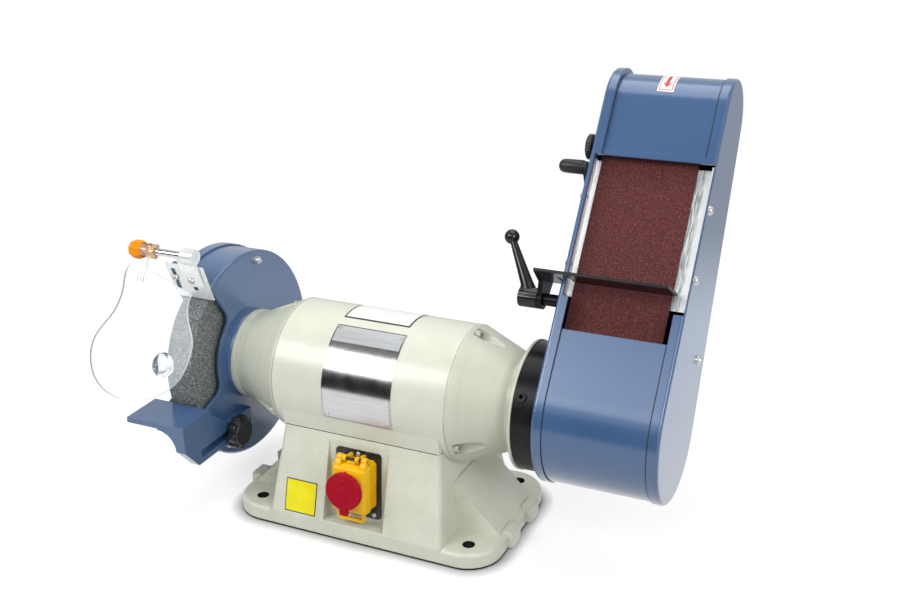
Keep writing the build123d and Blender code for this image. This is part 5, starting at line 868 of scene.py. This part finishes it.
# Under the foot the paper is drawn near black as a painted shadow.
under = spread(tree, out, 1.0, 0.0, 0.0365, 0.0385)
sheet = tint(tree, lumps(tree, place, 3), (0.3, "#BBBBBB"), (0.7, "#BFBFBF"))
colour(tree, shader, blend(tree, under, sheet, linear("#262626")))
glow = add(tree, "ShaderNodeEmission", {"Color": (1, 1, 1, 1), "Strength": clear_of_foot})
white = add(tree, "ShaderNodeEmission", {"Color": (1, 1, 1, 1), "Strength": 1.0})
seen = add(tree, "ShaderNodeAddShader", {0: shader.outputs[0], 1: glow.outputs[0]}).outputs[0]
away = vector(tree, "LENGTH", place, result="Value")
seen = either(tree, spread(tree, away, 0, 1, 0.8, 1.5), seen, white.outputs[0])
grey = add(tree, "ShaderNodeBsdfDiffuse", {0: linear("#B4B4B4")}).outputs[0]
seen = either(tree, path["Is Camera Ray"], grey, seen)
last = either(tree, path["Is Glossy Ray"], seen, mirrored.outputs[0])
tree.links.new(last, tree.nodes["Material Output"].inputs["Surface"])
floor_mesh.materials.append(paper)
floor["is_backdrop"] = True

# The room: dark low in front, bright to the right and behind; straight views of it are plain white.
world = bpy.data.worlds.new("studio")
bpy.context.scene.world = world
world.use_nodes = True
tree = world.node_tree
way = add(tree, "ShaderNodeTexCoord").outputs["Generated"]
stops = ((0.30, "#2B2B2B"), (0.36, "#F5F5F5"), (0.64, "#F5F5F5"), (0.78, "#808080"))
ahead = tint(tree, axis(tree, way, "Z"), *stops)
beside = spread(tree, axis(tree, way, "X"), 0.0, 1.0, 0.05, 0.35)
ahead = blend(tree, beside, ahead, linear("#F5F5F5"))
behind = spread(tree, axis(tree, way, "Y"), 0.0, 1.0, -0.05, 0.35)
room = blend(tree, behind, ahead, linear("#E8E8E8"))
air = add(tree, "ShaderNodeBackground", {"Color": room, "Strength": 0.8})
white = add(tree, "ShaderNodeBackground", {"Color": (1, 1, 1, 1), "Strength": 1.0})
path = add(tree, "ShaderNodeLightPath").outputs
seen = number(tree, "MAXIMUM", path["Is Camera Ray"], path["Is Transmission Ray"])
sky = either(tree, seen, air.outputs[0], white.outputs[0])
tree.links.new(sky, tree.nodes["World Output"].inputs["Surface"])


def softbox(name, spot, target, size, energy):
    """Rectangular area lamp at spot, facing target."""
    lamp = bpy.data.lights.new(name, "AREA")
    lamp.shape = "RECTANGLE"
    lamp.size, lamp.size_y = size
    lamp.energy = energy
    holder = bpy.data.objects.new(name, lamp)
    back = np.array(spot) - np.array(target)
    back = back / np.linalg.norm(back)
    side = np.cross((0, 0, 1), back)
    side = side / np.linalg.norm(side)
    turn = np.column_stack([side, np.cross(back, side), back])
    holder.matrix_world = Matrix.LocRotScale(spot, Matrix(turn.tolist()).to_quaternion(), None)
    bpy.context.scene.collection.objects.link(holder)


# A key box from the front left, a broad one above, one for the arm's long highlights and a fill from the right.
softbox("key", (-1.2, -1.5, 1.5), (0, 0, 0.2), (1.0, 1.0), 19.5)
softbox("top", (0.0, 0.4, 2.2), (0, 0, 0.2), (1.6, 1.6), 17.0)
softbox("front", (-0.31, -1.62, 1.66), (0.25, 0, 0.23), (1.4, 0.9), 7.0)
softbox("fill", (1.5, -1.0, 1.1), (0.2, 0, 0.2), (0.8, 0.8), 11.0)

# The camera's place, turn and lens were fitted to the machine's straight edges and circles.
camera = bpy.data.cameras.new("photo camera")
camera.sensor_width = 36.0
camera.lens = 46.79
camera.clip_end = 100.0
eye = bpy.data.objects.new("photo camera", camera)
right = (0.9078991, 0.4187905, -0.0182689)
up = (-0.1384208, 0.3406505, 0.9299446)
back = (0.3956752, -0.8417671, 0.3672456)
turn = Matrix((right, up, back)).transposed()
eye.matrix_world = Matrix.LocRotScale((0.5565, -1.0202, 0.7043), turn.to_quaternion(), None)
bpy.context.scene.collection.objects.link(eye)
bpy.context.scene.camera = eye
bpy.context.scene.view_settings.view_transform = "Standard"

low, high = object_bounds()
